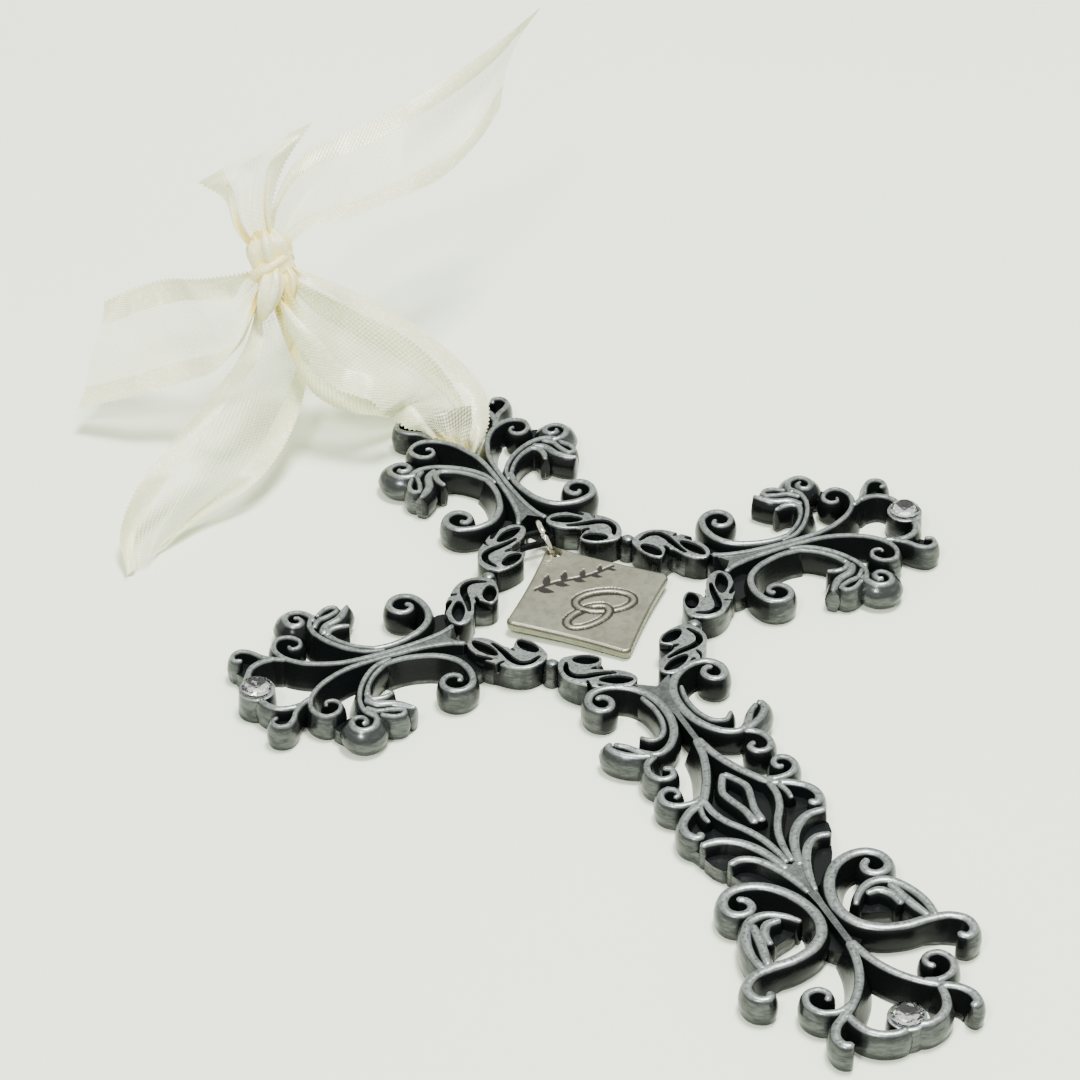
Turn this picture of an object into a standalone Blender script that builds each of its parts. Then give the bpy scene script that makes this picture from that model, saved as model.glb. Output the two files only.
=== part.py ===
"""Filigree wall cross with three stones, a ring-hung tag and a tied ribbon, lying on its flat back.

The casting is drawn flat on a grid of squares about the middle of the cross. The middle ring sets the size
of a square, and the arms stretch beyond it to their own reach. x runs along the right arm, y along the upper
arm, and z is up from the flat back. The long arm runs towards -y. The origin is on the flat back, in the web
where the long arm leaves the middle ring.
"""
import math

import bmesh
import bpy
from mathutils import Matrix, Vector

MM = 0.001

# Driving dimensions
RING_REACH = 17.0 * MM       # from the middle of the cross to where the arms leave its ring
ARM_REACH = 43.0 * MM        # from the middle of the cross to a side arm's stone
FOOT_REACH = 79.6 * MM       # from the middle of the cross to the foot's stone
CAST_DEPTH = 3.4 * MM        # thickness of the casting
FLOOR_DEPTH = 1.9 * MM       # height of the sunk floors between ribs
STONE_DIAMETER = 3.7 * MM
STONE_CROWN = 0.75 * MM      # girdle to table
STONE_PAVILION = 1.2 * MM    # girdle to culet
SEAT_WALL = 0.3 * MM
SEAT_BORE_DEPTH = 1.9 * MM
CLEARANCE = 0.3 * MM         # air between pieces that touch
REST_GAP = 0.1 * MM          # air between the table and what the ring and the tag hang down
TAG_ROOM = 3.5 * MM          # how much shorter the tag's half diagonal is than the middle ring's opening
TAG_THICKNESS = 1.3 * MM
TAG_ROUNDING = 1.0 * MM      # radius of the tag's corners
TAG_HOLE = 2.2 * MM
TAG_HOLE_WALL = 0.75 * MM    # from the hole's rim to the tag's drawn corner
LINK_RING_DIAMETER = 5.6 * MM
LINK_RING_WIRE = 0.7 * MM
LINK_RING_PLAY = 0.2 * MM    # air between the link ring and the bar it hangs on
EYELET_BAR = 0.7 * MM        # height and width of that bar
BAIL_LIFT = 1.0 * MM         # free height under the bar that the ribbon goes round
RIBBON_THICKNESS = 0.4 * MM
RIBBON_SQUARE = 1.0 * MM     # one square of the ribbon's drawing
KNOT_WIDTH = 6.0 * MM

# Drawing grid
ROOT_SQUARES = 17.0          # the middle ring's reach, as drawn
SQUARE = RING_REACH / ROOT_SQUARES
ORIGIN_DOWN = 20.5           # squares from the middle of the cross down to the origin
RIB_SWELL = 0.7              # how soon a rib swells to its middle width: less is sooner
TURN_STEP = math.radians(46)
RUN_STEP = 6.0               # longest straight run along a rib, in squares
FOLD_GAP = 0.02 * MM         # least step of a rib's inner edge round a tight bend
MERGE = 1e-6

# Half of a side arm: (squares out from the middle, squares to the side), then widths at start, middle, end
ARM_RIBS = {
    "scroll": ([(20.2, 7.6), (20.6, 6.95), (21.6, 6.7), (22.55, 7.4), (22.75, 8.5), (22.0, 9.55), (20.8, 9.8),
                (19.5, 9.1), (18.9, 7.6), (18.9, 5.9), (19.6, 4.1), (21.2, 2.7), (23.4, 1.85), (25.6, 1.5),
                (27.8, 1.7)], (0.7, 1.05, 0.9)),
    "leaf_stem": ([(26.4, 0.9), (28.6, 1.5), (30.4, 2.9), (32.0, 5.0), (32.9, 7.2), (32.9, 8.9), (32.1, 10.3)],
                  (0.6, 0.8, 0.9)),
    "leaf_inner": ([(27.2, 1.5), (29.4, 3.0), (30.8, 4.6), (31.7, 6.4)], (0.6, 0.6, 1.1)),
    "leaf_prong": ([(31.8, 6.0), (31.2, 7.0), (30.0, 7.3), (28.5, 6.9)], (1.1, 0.9, 0.4)),
    "leaf_tip": ([(32.1, 6.6), (31.2, 8.0), (29.2, 8.8), (27.3, 10.7)], (1.2, 1.1, 0.4)),
    "leaf_back": ([(32.7, 8.2), (31.5, 9.4), (30.1, 9.7), (28.7, 10.4), (29.0, 11.1), (30.1, 11.1), (31.6, 10.1)],
                  (0.8, 0.7, 0.6)),
    "lobe": ([(32.2, 9.6), (31.9, 11.2), (32.7, 12.5), (34.2, 12.8), (35.4, 12.0), (35.8, 10.5), (36.3, 9.0),
              (37.3, 7.7)], (0.8, 0.9, 0.8)),
    "lobe_hook": ([(35.4, 9.4), (34.3, 9.6), (33.8, 10.6), (34.6, 11.3)], (0.8, 0.7, 0.6)),
    "branch": ([(17.2, 1.9), (18.6, 1.25), (21.0, 0.72), (24.5, 0.42), (28.5, 0.38), (31.6, 0.6), (34.0, 1.3),
                (36.4, 2.6), (38.0, 4.4), (38.4, 6.4), (37.4, 7.9), (35.9, 7.7), (35.1, 6.5), (35.7, 5.4),
                (36.7, 5.5)], (0.8, 0.85, 0.6)),
    "tip_hook": ([(37.8, 3.9), (39.3, 4.7), (40.3, 5.6), (41.1, 6.8), (42.2, 7.6), (43.3, 7.2), (43.5, 6.2),
                  (42.6, 5.8)], (0.9, 0.8, 0.6)),
}
ARM_FLOORS = {
    "root": [(16.6, 1.4), (18.6, 1.0), (20.4, 2.6), (18.9, 5.4), (16.9, 6.0), (15.8, 4.5)],
    "leaf": [(27.6, 10.5), (28.9, 7.0), (28.4, 3.6), (30.4, 3.0), (32.6, 7.0), (32.2, 10.0), (30.2, 11.1)],
    "lobe": [(32.0, 9.6), (32.0, 11.6), (33.3, 12.7), (35.0, 12.3), (35.7, 10.8), (35.9, 8.8)],
    "tip": [(39.6, 4.7), (41.1, 6.9), (42.4, 7.6), (43.6, 6.8), (43.2, 4.4), (42.0, 4.2)],
}
# The loop round an arm's end. It ends at the stone, so its last point is the arm's reach as drawn
TIP_RING = ([(39.0, 4.6), (40.6, 4.7), (42.0, 4.2), (42.9, 3.1), (43.2, 1.7), (43.0, 0.0)], (0.8, 0.8, 1.1))
ARM_SQUARES = TIP_RING[0][-1][0]
ARM_WEB = [(17.0, 2.2), (18.7, 0.0), (17.0, -2.2), (19.5, -1.1), (25.0, -0.3), (25.0, 0.3), (19.5, 1.1)]

# One ring link, drawn beside the right arm: its plate, then the hollows sunk into it
LINK_PLATE = [(16.4, 1.5), (15.2, 1.8), (14.1, 2.9), (13.2, 4.7), (12.5, 5.0), (12.0, 4.4), (11.3, 3.8), (10.3, 4.4),
              (9.6, 5.8), (9.2, 7.4), (9.0, 8.7), (9.6, 9.5), (10.9, 9.6), (12.4, 9.5), (14.0, 8.7), (15.3, 7.4),
              (16.6, 5.8), (17.1, 4.2), (17.3, 2.6)]
LINK_HOLLOWS = [
    ([(16.3, 2.3), (15.9, 3.4), (15.3, 4.5), (14.9, 5.4)], (0.2, 1.5, 0.2)),
    ([(14.1, 3.4), (13.8, 5.0), (13.5, 6.6), (12.9, 7.8), (11.8, 8.3), (10.2, 8.0)], (0.4, 0.8, 0.4)),
    ([(11.3, 4.2), (10.9, 5.2), (10.4, 6.2), (10.1, 6.9)], (0.3, 1.4, 0.4)),
    ([(14.5, 6.9), (15.0, 7.1), (15.7, 7.2)], (0.2, 0.5, 0.5)),
]
LINK_HOLLOW_DEPTH = 1.2 * MM
BEAD_PLACE = (9.35, 9.35)    # the bead that joins two links at each corner of the ring
BEAD_RADIUS = 0.8

# Sizes that follow from the driving dimensions and the drawing
RING_OPENING = min(out + side for out, side in LINK_PLATE) * SQUARE
TAG_REACH = RING_OPENING - TAG_ROOM  # half of the tag's diagonal
LINK_RING_RADIUS = (LINK_RING_DIAMETER - LINK_RING_WIRE) / 2

# Half of the long arm: (squares to the side, squares down from the middle)
STEM_RIBS = {
    "scroll": ([(7.6, 17.9), (6.8, 17.7), (6.1, 18.5), (6.4, 19.6), (7.4, 20.1), (8.4, 19.4), (8.6, 18.0),
                (7.7, 16.7), (6.1, 16.3), (4.4, 16.7), (2.7, 17.9), (1.5, 19.8), (1.0, 22.3), (1.2, 25.0),
                (2.2, 27.5), (3.8, 29.2), (5.4, 29.7), (6.8, 28.7), (8.0, 27.1), (9.7, 25.8)], (0.6, 0.9, 0.4)),
    "scroll_leaf": ([(1.7, 26.0), (2.9, 27.8), (4.4, 28.2), (5.6, 27.0), (6.2, 25.9)], (0.6, 0.7, 0.4)),
    "leaf_tip": ([(5.8, 29.6), (7.6, 28.5), (9.2, 27.5)], (0.8, 0.9, 0.5)),
    "fork": ([(0.1, 29.0), (0.6, 32.0), (1.5, 34.6), (2.8, 37.2), (4.4, 39.4), (6.4, 40.4), (8.0, 42.0), (8.3, 43.6),
              (7.4, 44.7), (6.7, 44.0)], (0.8, 0.9, 0.8)),
    "upper_curl": ([(5.6, 29.8), (7.2, 31.0), (7.6, 32.8), (6.7, 34.0), (5.4, 33.9), (5.0, 32.8), (5.9, 32.3)],
                   (0.8, 0.7, 0.6)),
    "lower_curl": ([(3.9, 38.7), (5.6, 39.1), (7.3, 38.8), (8.3, 37.6), (8.0, 36.3), (7.0, 35.8), (6.2, 36.4),
                    (6.3, 37.3), (7.0, 37.5)], (0.8, 0.7, 0.4)),
    "diamond": ([(0.0, 35.9), (0.8, 37.2), (1.5, 38.9), (1.1, 40.8), (0.6, 42.6), (0.4, 45.2)], (0.6, 0.7, 0.9)),
    "arc": ([(4.1, 39.0), (4.0, 41.6), (3.3, 43.6), (2.1, 45.5), (1.1, 47.6), (0.5, 50.2), (0.3, 52.6)],
            (0.7, 0.8, 0.6)),
    "stub": ([(4.9, 39.8), (5.3, 41.6), (5.2, 43.0)], (0.7, 0.5, 0.3)),
    "upper_plume": ([(7.9, 46.1), (5.8, 46.1), (3.9, 47.1), (2.4, 48.9), (1.5, 51.0), (0.8, 53.6)],
                    (0.7, 1.0, 0.8)),
    "lower_plume": ([(6.4, 50.2), (4.8, 49.9), (3.3, 50.7), (2.1, 52.4), (1.1, 54.8), (0.4, 58.0)],
                    (0.7, 0.9, 0.5)),
    "heart": ([(8.2, 55.6), (7.3, 56.2), (7.1, 57.2), (7.8, 58.0), (9.0, 58.0), (9.9, 57.1), (9.8, 55.6),
               (8.7, 54.4), (6.9, 54.1), (4.6, 54.9), (2.7, 56.9), (1.6, 59.5), (1.4, 62.1), (2.3, 64.4),
               (4.2, 66.0), (6.8, 66.8), (9.6, 66.9), (12.0, 67.4), (13.4, 68.7), (13.3, 70.4), (12.1, 71.1),
               (11.3, 70.2)], (0.7, 1.1, 0.8)),
    "heart_leaf": ([(3.3, 61.8), (4.6, 60.2), (6.6, 59.1), (8.6, 59.5), (10.0, 61.6), (10.7, 64.4), (10.5, 67.0)],
                   (0.4, 0.9, 0.7)),
    "heart_prong": ([(5.2, 60.6), (6.9, 60.6), (7.9, 62.0), (8.0, 63.8)], (0.5, 0.9, 0.5)),
    "heart_vein": ([(8.4, 60.0), (8.9, 63.0), (9.8, 66.6)], (0.7, 0.9, 0.6)),
    "foot_fork": ([(0.1, 66.6), (0.8, 70.0), (2.2, 73.0), (4.2, 75.4), (6.0, 76.8), (7.4, 77.8), (8.2, 79.2),
                   (8.0, 80.6), (7.0, 81.0)], (0.8, 0.9, 0.9)),
    "foot_curl": ([(4.2, 75.3), (6.2, 75.9), (8.0, 75.2), (8.7, 73.6), (8.0, 72.1), (6.6, 72.0), (5.9, 73.0),
                   (6.6, 74.0)], (0.8, 0.7, 0.6)),
    "foot_ring": ([(5.6, 76.5), (5.3, 78.4), (4.5, 80.0), (3.1, 81.0), (1.2, 81.2), (0.0, 79.6)],
                  (0.7, 0.9, 0.9)),
}
FOOT_SQUARES = STEM_RIBS["foot_ring"][0][-1][1]
STEM_FLOORS = {
    "leaf": [(5.0, 29.6), (6.8, 28.2), (9.3, 26.2), (9.4, 27.4), (8.0, 29.4), (6.6, 30.6)],
    "diamond": [(0.0, 36.4), (4.4, 39.4), (3.6, 43.4), (1.6, 46.8), (0.0, 51.0)],
    "plume": [(5.2, 40.2), (7.9, 42.2), (7.8, 46.2), (5.8, 46.4), (3.4, 47.6), (2.0, 50.0), (0.6, 50.6),
              (2.6, 45.2), (3.9, 43.0)],
    "lower_plume": [(7.6, 46.3), (6.8, 49.6), (4.4, 50.0), (2.4, 51.6), (1.2, 53.4), (2.4, 49.4), (4.2, 47.2)],
    "drop": [(6.2, 50.2), (5.2, 52.8), (3.4, 54.6), (1.6, 56.2), (2.4, 52.6), (4.0, 50.4)],
    "heart_root": [(0.0, 56.4), (2.0, 58.4), (1.7, 62.0), (2.4, 64.9), (0.6, 67.4), (0.0, 67.8)],
    "heart": [(3.6, 61.6), (7.0, 59.2), (9.4, 60.8), (10.7, 64.4), (10.4, 66.6), (8.6, 66.4), (8.0, 63.6)],
}
STEM_WEBS = [
    [(-2.4, 16.9), (0.0, 18.5), (2.4, 16.9), (1.2, 19.6), (0.35, 24.0), (0.35, 30.0), (-0.35, 30.0), (-0.35, 24.0),
     (-1.2, 19.6)],
    [(-1.5, 52.0), (0.0, 53.0), (1.5, 52.0), (0.7, 56.6), (0.4, 60.0), (0.4, 67.6), (-0.4, 67.6), (-0.4, 60.0),
     (-0.7, 56.6)],
]


# The tag and its link ring. Angles round the ring are from its point nearest the tag, by way of its underside
EYELET_PLACE = 14.3          # squares from the middle of the cross up to the bar
EYELET_REACH = 3.4           # squares from the bar's middle to either end
LINK_RING_ASIDE = 0.2 * MM   # how far right of the centre line the ring hangs
LINK_RING_AXIS = Vector((0.928, -0.132, 0.351)).normalized()
LINK_RING_SIDES = 22
BAR_ANGLE = math.radians(135)
TAG_ANGLE = math.radians(19)
TAG_TURN = math.radians(1.5)
TAG_WAIST = 0.018            # how far the tag's sides are hollowed, as a share of its side
TAG_EDGE_START = 0.1         # where a hollowed side begins, as a share of the way between two corners
TAG_CORNER_STEP = math.radians(22)

# Shape of a stone, seen from the side
STONE_TABLE = 0.55           # the flat top's share of the diameter
STONE_BAND = 0.11 * MM       # height of the girdle
STONE_SIDES = 16

# The ribbon: each row is a point on either edge, in its own squares from the middle of the cross, above the table
KNOT_PLACE = (-18.2, 57.4, 22.0)
KNOT_TURN = math.radians(-34)
HANGER_UPPER = [
    ((-17.0, 57.4, 22.4), (-19.4, 56.2, 20.8)),
    ((-13.8, 56.0, 20.6), (-18.6, 50.0, 15.6)),
    ((-8.6, 55.3, 17.2), (-15.3, 44.3, 10.3)),
    ((-2.9, 52.3, 13.4), (-11.8, 41.0, 9.3)),
    ((1.3, 49.2, 9.9), (-9.6, 39.6, 7.8)),
    ((3.8, 46.0, 6.4), (-8.4, 39.8, 6.2)),
]
# Round the bail: either edge, then the height as a share of the way from the lower run to the upper one
HANGER_BAIL = [
    ((3.9, 43.4), (-5.4, 42.6), 1.17),
    ((3.0, 40.4), (-3.0, 40.4), 0.65),
    ((2.2, 38.6), (-2.2, 38.6), 0.26),
    ((2.6, 40.6), (-2.6, 40.6), 0.03),
    ((3.0, 44.4), (-3.0, 44.4), 0.0),
]
HANGER_LOWER = [
    ((3.2, 48.0, 3.4), (-5.0, 46.4, 2.0)),
    ((0.6, 50.6, 7.6), (-9.6, 45.6, 4.6)),
    ((-3.6, 53.0, 11.4), (-12.4, 45.0, 6.4)),
    ((-9.2, 55.4, 15.2), (-16.0, 47.6, 8.2)),
    ((-14.0, 56.6, 18.6), (-18.6, 52.0, 13.4)),
    ((-17.0, 57.6, 21.2), (-19.2, 56.4, 19.6)),
]
RIBBON_TAILS = {
    "tail_right": [
        ((-17.8, 59.4, 23.6), (-18.6, 56.8, 23.2)),
        ((-13.6, 67.6, 25.2), (-16.4, 57.4, 23.8)),
        ((-7.5, 73.6, 27.0), (-11.7, 60.6, 23.9)),
        ((-0.8, 73.5, 29.0), (-6.2, 60.5, 24.2)),
        ((6.3, 73.6, 31.0), (0.9, 61.0, 25.2)),
        ((14.0, 74.9, 33.0), (8.5, 65.0, 24.0)),
        ((22.3, 77.5, 35.0), (15.7, 69.8, 25.0)),
        ((29.9, 80.5, 37.0), (21.2, 75.0, 26.0)),
    ],
    "tail_top": [
        ((-19.8, 58.4, 22.8), (-17.4, 58.2, 23.4)),
        ((-21.2, 62.0, 25.4), (-16.6, 60.6, 28.0)),
        ((-21.4, 65.4, 28.0), (-13.6, 63.4, 32.4)),
        ((-24.1, 67.6, 30.0), (-8.8, 65.6, 36.4)),
    ],
    "tail_left": [
        ((-20.0, 57.6, 21.8), (-19.6, 56.4, 20.2)),
        ((-23.6, 60.2, 20.4), (-25.0, 50.6, 17.4)),
        ((-26.5, 63.0, 19.0), (-28.7, 50.0, 13.6)),
        ((-29.4, 67.6, 17.0), (-31.4, 55.5, 8.9)),
        ((-33.4, 69.8, 15.2), (-36.8, 57.9, 6.9)),
        ((-36.7, 70.3, 14.0), (-43.8, 62.7, 3.6)),
    ],
    "tail_low": [
        ((-19.8, 56.2, 20.6), (-17.4, 57.4, 20.0)),
        ((-22.6, 52.8, 17.8), (-14.2, 59.0, 14.6)),
        ((-25.4, 50.0, 15.4), (-13.8, 56.4, 10.6)),
        ((-30.2, 47.4, 12.4), (-16.6, 50.8, 7.4)),
        ((-36.1, 44.3, 9.8), (-22.4, 42.6, 5.6)),
        ((-43.0, 40.4, 6.6), (-28.6, 38.0, 3.8)),
        ((-47.6, 35.4, 3.4), (-36.0, 36.2, 2.2)),
        ((-48.6, 30.0, 0.9), (-42.4, 33.8, 1.4)),
    ],
}


def clear_scene():
    """Remove what the file holds, so a rerun starts afresh."""
    for obj in list(bpy.data.objects):
        bpy.data.objects.remove(obj, do_unlink=True)


def collection(name):
    """A collection of that name in the scene."""
    made = bpy.data.collections.new(name)
    bpy.context.scene.collection.children.link(made)
    return made


def material(name, colour, roughness, metallic, transmission=0.0):
    """A plain Principled material."""
    made = bpy.data.materials.new(name)
    made.use_nodes = True
    shader = made.node_tree.nodes["Principled BSDF"]
    shader.inputs["Base Color"].default_value = (*colour, 1.0)
    shader.inputs["Roughness"].default_value = roughness
    shader.inputs["Metallic"].default_value = metallic
    shader.inputs["Transmission Weight"].default_value = transmission
    return made


def stretched(drawn, drawn_reach, reach):
    """A drawn distance from the middle, in metres: beyond the middle ring it stretches to the arm's reach."""
    if drawn <= ROOT_SQUARES:
        return drawn * SQUARE
    share = (drawn - ROOT_SQUARES) / (drawn_reach - ROOT_SQUARES)
    return RING_REACH + share * (reach - RING_REACH)


def arm_place(point):
    """A drawn point of a side arm or of the middle ring, in metres."""
    out, side = point
    return Vector((stretched(out, ARM_SQUARES, ARM_REACH), side * SQUARE))


def stem_place(point):
    """A drawn point of the long arm, in metres."""
    side, down = point
    return Vector((side * SQUARE, -stretched(down, FOOT_SQUARES, FOOT_REACH)))


def smooth_path(points, per_span=10):
    """Points along a centripetal Catmull-Rom curve through the given ones, in 2-D or 3-D."""
    knots = [2 * points[0] - points[1], *points, 2 * points[-1] - points[-2]]
    path = []
    for before, start, end, after in zip(knots, knots[1:], knots[2:], knots[3:]):
        t1 = (start - before).length ** 0.5
        t2 = t1 + (end - start).length ** 0.5
        t3 = t2 + (after - end).length ** 0.5
        for step in range(per_span):
            t = t1 + (t2 - t1) * step / per_span
            a1 = before * ((t1 - t) / t1) + start * (t / t1)
            a2 = start * ((t2 - t) / (t2 - t1)) + end * ((t - t1) / (t2 - t1))
            a3 = end * ((t3 - t) / (t3 - t2)) + after * ((t - t2) / (t3 - t2))
            b1 = a1 * ((t2 - t) / t2) + a2 * (t / t2)
            b2 = a2 * ((t3 - t) / (t3 - t1)) + a3 * ((t - t1) / (t3 - t1))
            path.append(b1 * ((t2 - t) / (t2 - t1)) + b2 * ((t - t1) / (t2 - t1)))
    path.append(points[-1])
    return path


def thin_path(path):
    """Keep a point wherever the path has turned or run far enough, so curls keep their shape cheaply."""
    kept = [path[0]]
    turned = run = 0.0
    for before, here, after in zip(path, path[1:], path[2:]):
        turned += abs((here - before).angle_signed(after - here))
        run += (here - before).length
        if turned >= TURN_STEP or run >= RUN_STEP * SQUARE:
            kept.append(here)
            turned = run = 0.0
    kept.append(path[-1])
    return kept


def advance(side, place, forward, last):
    """Add a point to one side of a rib, unless a tight bend would fold it back."""
    if side and (place - side[-1]).dot(forward) <= FOLD_GAP:
        if not last:
            return
        side.pop()
    side.append(place)


def rib_outline(points, widths):
    """The outline of a rib that follows the points, with its width at the start, middle and end."""
    path = thin_path(smooth_path(points))
    start, middle, end = (width * SQUARE for width in widths)
    left, right = [], []
    for index, here in enumerate(path):
        forward = (path[min(index + 1, len(path) - 1)] - path[max(index - 1, 0)]).normalized()
        across = forward.orthogonal()
        share = index / (len(path) - 1)
        swell = math.sin(math.pi * share) ** RIB_SWELL
        reach = ((start * (1 - share) + end * share) * (1 - swell) + middle * swell) / 2
        last = index == len(path) - 1
        advance(left, here + across * reach, forward, last)
        advance(right, here - across * reach, forward, last)
    return left + right[::-1]


def as_mesh(source, target):
    """The evaluated shape of an object as a welded mesh object in the target collection."""
    bpy.context.view_layer.update()
    seen = source.evaluated_get(bpy.context.evaluated_depsgraph_get())
    mesh = bpy.data.meshes.new_from_object(seen)
    mesh.transform(source.matrix_world)
    work = bmesh.new()
    work.from_mesh(mesh)
    bmesh.ops.remove_doubles(work, verts=work.verts, dist=MERGE)
    bmesh.ops.recalc_face_normals(work, faces=work.faces)
    work.to_mesh(mesh)
    work.free()
    name = source.name
    bpy.data.objects.remove(source, do_unlink=True)
    made = bpy.data.objects.new(name, mesh)
    target.objects.link(made)
    return made


def slab(name, outline, base, top, target):
    """A flat outline as a solid between two heights."""
    curve = bpy.data.curves.new(name, "CURVE")
    curve.dimensions = "2D"
    curve.fill_mode = "BOTH"
    curve.extrude = (top - base) / 2
    spline = curve.splines.new("POLY")
    spline.points.add(len(outline) - 1)
    for knot, place in zip(spline.points, outline):
        knot.co = (place[0], place[1], 0.0, 1.0)
    spline.use_cyclic_u = True
    flat = bpy.data.objects.new(name, curve)
    flat.location.z = (base + top) / 2
    target.objects.link(flat)
    return as_mesh(flat, target)


def combine(base, others, operation, target):
    """Union the others with the base, or cut them from it, and return the result."""
    group = bpy.data.collections.new("group")
    bpy.context.scene.collection.children.link(group)
    for other in others:
        for home in other.users_collection:
            home.objects.unlink(other)
        group.objects.link(other)
    boolean = base.modifiers.new("combine", "BOOLEAN")
    boolean.operand_type = "COLLECTION"
    boolean.collection = group
    boolean.operation = operation
    boolean.solver = "MANIFOLD"
    made = as_mesh(base, target)
    for other in others:
        bpy.data.objects.remove(other, do_unlink=True)
    bpy.data.collections.remove(group)
    return made


def tidy_flats(obj):
    """Merge the coplanar facets that unions leave behind."""
    work = bmesh.new()
    work.from_mesh(obj.data)
    bmesh.ops.dissolve_limit(work, angle_limit=math.radians(0.5), verts=work.verts, edges=work.edges)
    bmesh.ops.triangulate(work, faces=work.faces)
    work.to_mesh(obj.data)
    work.free()


def placed_copy(obj, matrix, name, target):
    """A copy of a mesh object, moved, turned or mirrored by a matrix."""
    mesh = obj.data.copy()
    mesh.transform(matrix)
    if matrix.determinant() < 0:
        mesh.flip_normals()
    made = bpy.data.objects.new(name, mesh)
    target.objects.link(made)
    return made


def build_half_arm(shop):
    """Half of a side arm, up to its centre line, without its tip ring."""
    ribs = [
        slab(name, rib_outline([arm_place(p) for p in points], widths), 0.0, CAST_DEPTH, shop)
        for name, (points, widths) in ARM_RIBS.items()
    ]
    floors = [
        slab(name, [arm_place(p) for p in outline], 0.0, FLOOR_DEPTH, shop)
        for name, outline in ARM_FLOORS.items()
    ]
    return combine(ribs[0], ribs[1:] + floors, "UNION", shop)


def build_link(shop):
    """One link of the middle ring, with its hollows sunk into the top."""
    plate = slab("link", [arm_place(p) for p in LINK_PLATE], 0.0, CAST_DEPTH, shop)
    floor = CAST_DEPTH - LINK_HOLLOW_DEPTH
    hollows = [
        slab("hollow", rib_outline([arm_place(p) for p in points], widths), floor, CAST_DEPTH + MM, shop)
        for points, widths in LINK_HOLLOWS
    ]
    return combine(plate, hollows, "DIFFERENCE", shop)


def build_half_stem(shop):
    """Half of the long arm."""
    ribs = [
        slab(name, rib_outline([stem_place(p) for p in points], widths), 0.0, CAST_DEPTH, shop)
        for name, (points, widths) in STEM_RIBS.items()
    ]
    floors = [
        slab(name, [stem_place(p) for p in outline], 0.0, FLOOR_DEPTH, shop)
        for name, outline in STEM_FLOORS.items()
    ]
    return combine(ribs[0], ribs[1:] + floors, "UNION", shop)


def cylinder(name, place, radius, base, top, target, sides=20):
    """An upright cylinder."""
    work = bmesh.new()
    bmesh.ops.create_cone(
        work, cap_ends=True, segments=sides, radius1=radius, radius2=radius, depth=top - base,
        matrix=Matrix.Translation((place.x, place.y, (base + top) / 2)),
    )
    mesh = bpy.data.meshes.new(name)
    work.to_mesh(mesh)
    work.free()
    made = bpy.data.objects.new(name, mesh)
    target.objects.link(made)
    return made


def stone_places():
    """Where the three stones sit: left arm, right arm and foot."""
    return {
        "crystal_left": Vector((-ARM_REACH, 0.0)),
        "crystal_right": Vector((ARM_REACH, 0.0)),
        "crystal_foot": Vector((0.0, -FOOT_REACH)),
    }


def build_cross(shop, parts):
    """The casting: three like arms, a long arm, eight ring links, seats for the stones and the eyelet bar."""
    mirror = Matrix.Diagonal((1, -1, 1, 1))
    half_arm = build_half_arm(shop)
    link = build_link(shop)
    half_stem = build_half_stem(shop)
    pieces = []
    for quarter in range(4):
        turn = Matrix.Rotation(math.radians(90 * quarter), 4, "Z")
        for side in (Matrix.Identity(4), mirror):
            pieces.append(placed_copy(link, turn @ side, "link", shop))
            if quarter < 3:
                pieces.append(placed_copy(half_arm, turn @ side, "half_arm", shop))
                lift = BAIL_LIFT if quarter == 1 else 0.0
                ring = slab("tip", rib_outline([arm_place(p) for p in TIP_RING[0]], TIP_RING[1]), lift,
                            CAST_DEPTH, shop)
                pieces.append(placed_copy(ring, turn @ side, "tip_ring", shop))
                bpy.data.objects.remove(ring, do_unlink=True)
        if quarter < 3:
            web = slab("web", [arm_place(p) for p in ARM_WEB], 0.0, CAST_DEPTH, shop)
            pieces.append(placed_copy(web, turn, "arm_web", shop))
            bpy.data.objects.remove(web, do_unlink=True)
    for side in (Matrix.Identity(4), Matrix.Diagonal((-1, 1, 1, 1))):
        pieces.append(placed_copy(half_stem, side, "half_stem", shop))
    for outline in STEM_WEBS:
        pieces.append(slab("stem_web", [stem_place(p) for p in outline], 0.0, CAST_DEPTH, shop))
    for quarter in range(4):
        corner = Matrix.Rotation(math.radians(90 * quarter), 2) @ arm_place(BEAD_PLACE)
        pieces.append(cylinder("bead", corner, BEAD_RADIUS * SQUARE, 0.0, CAST_DEPTH, shop, sides=10))
    seat_radius = STONE_DIAMETER / 2 + SEAT_WALL
    for place in stone_places().values():
        pieces.append(cylinder("seat", place, seat_radius, 0.0, CAST_DEPTH, shop))
    pieces.append(build_eyelet_bar(shop))
    for used in (half_arm, link, half_stem):
        bpy.data.objects.remove(used, do_unlink=True)
    casting = combine(pieces[0], pieces[1:], "UNION", shop)
    bores = [
        cylinder("bore", place, STONE_DIAMETER / 2 - SEAT_WALL, CAST_DEPTH - SEAT_BORE_DEPTH, CAST_DEPTH + MM, shop)
        for place in stone_places().values()
    ]
    casting = combine(casting, bores, "DIFFERENCE", parts)
    tidy_flats(casting)
    casting.name = "cross"
    return casting


def ring_direction(angle):
    """The direction from the link ring's middle to its wire at an angle round it."""
    to_tag = (Vector((0.0, -1.0, 0.0)) + LINK_RING_AXIS * LINK_RING_AXIS.y).normalized()
    under = LINK_RING_AXIS.cross(to_tag)
    return to_tag * math.cos(angle) + under * math.sin(angle)


def link_ring_middle():
    """The link ring's middle: its wire just clears the bar at one place and the table at another."""
    drop = LINK_RING_RADIUS * math.sqrt(1 - LINK_RING_AXIS.z ** 2)
    height = REST_GAP + LINK_RING_WIRE / 2 + drop
    return Vector((LINK_RING_ASIDE, EYELET_PLACE * SQUARE - bar_offset().y, height))


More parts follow.
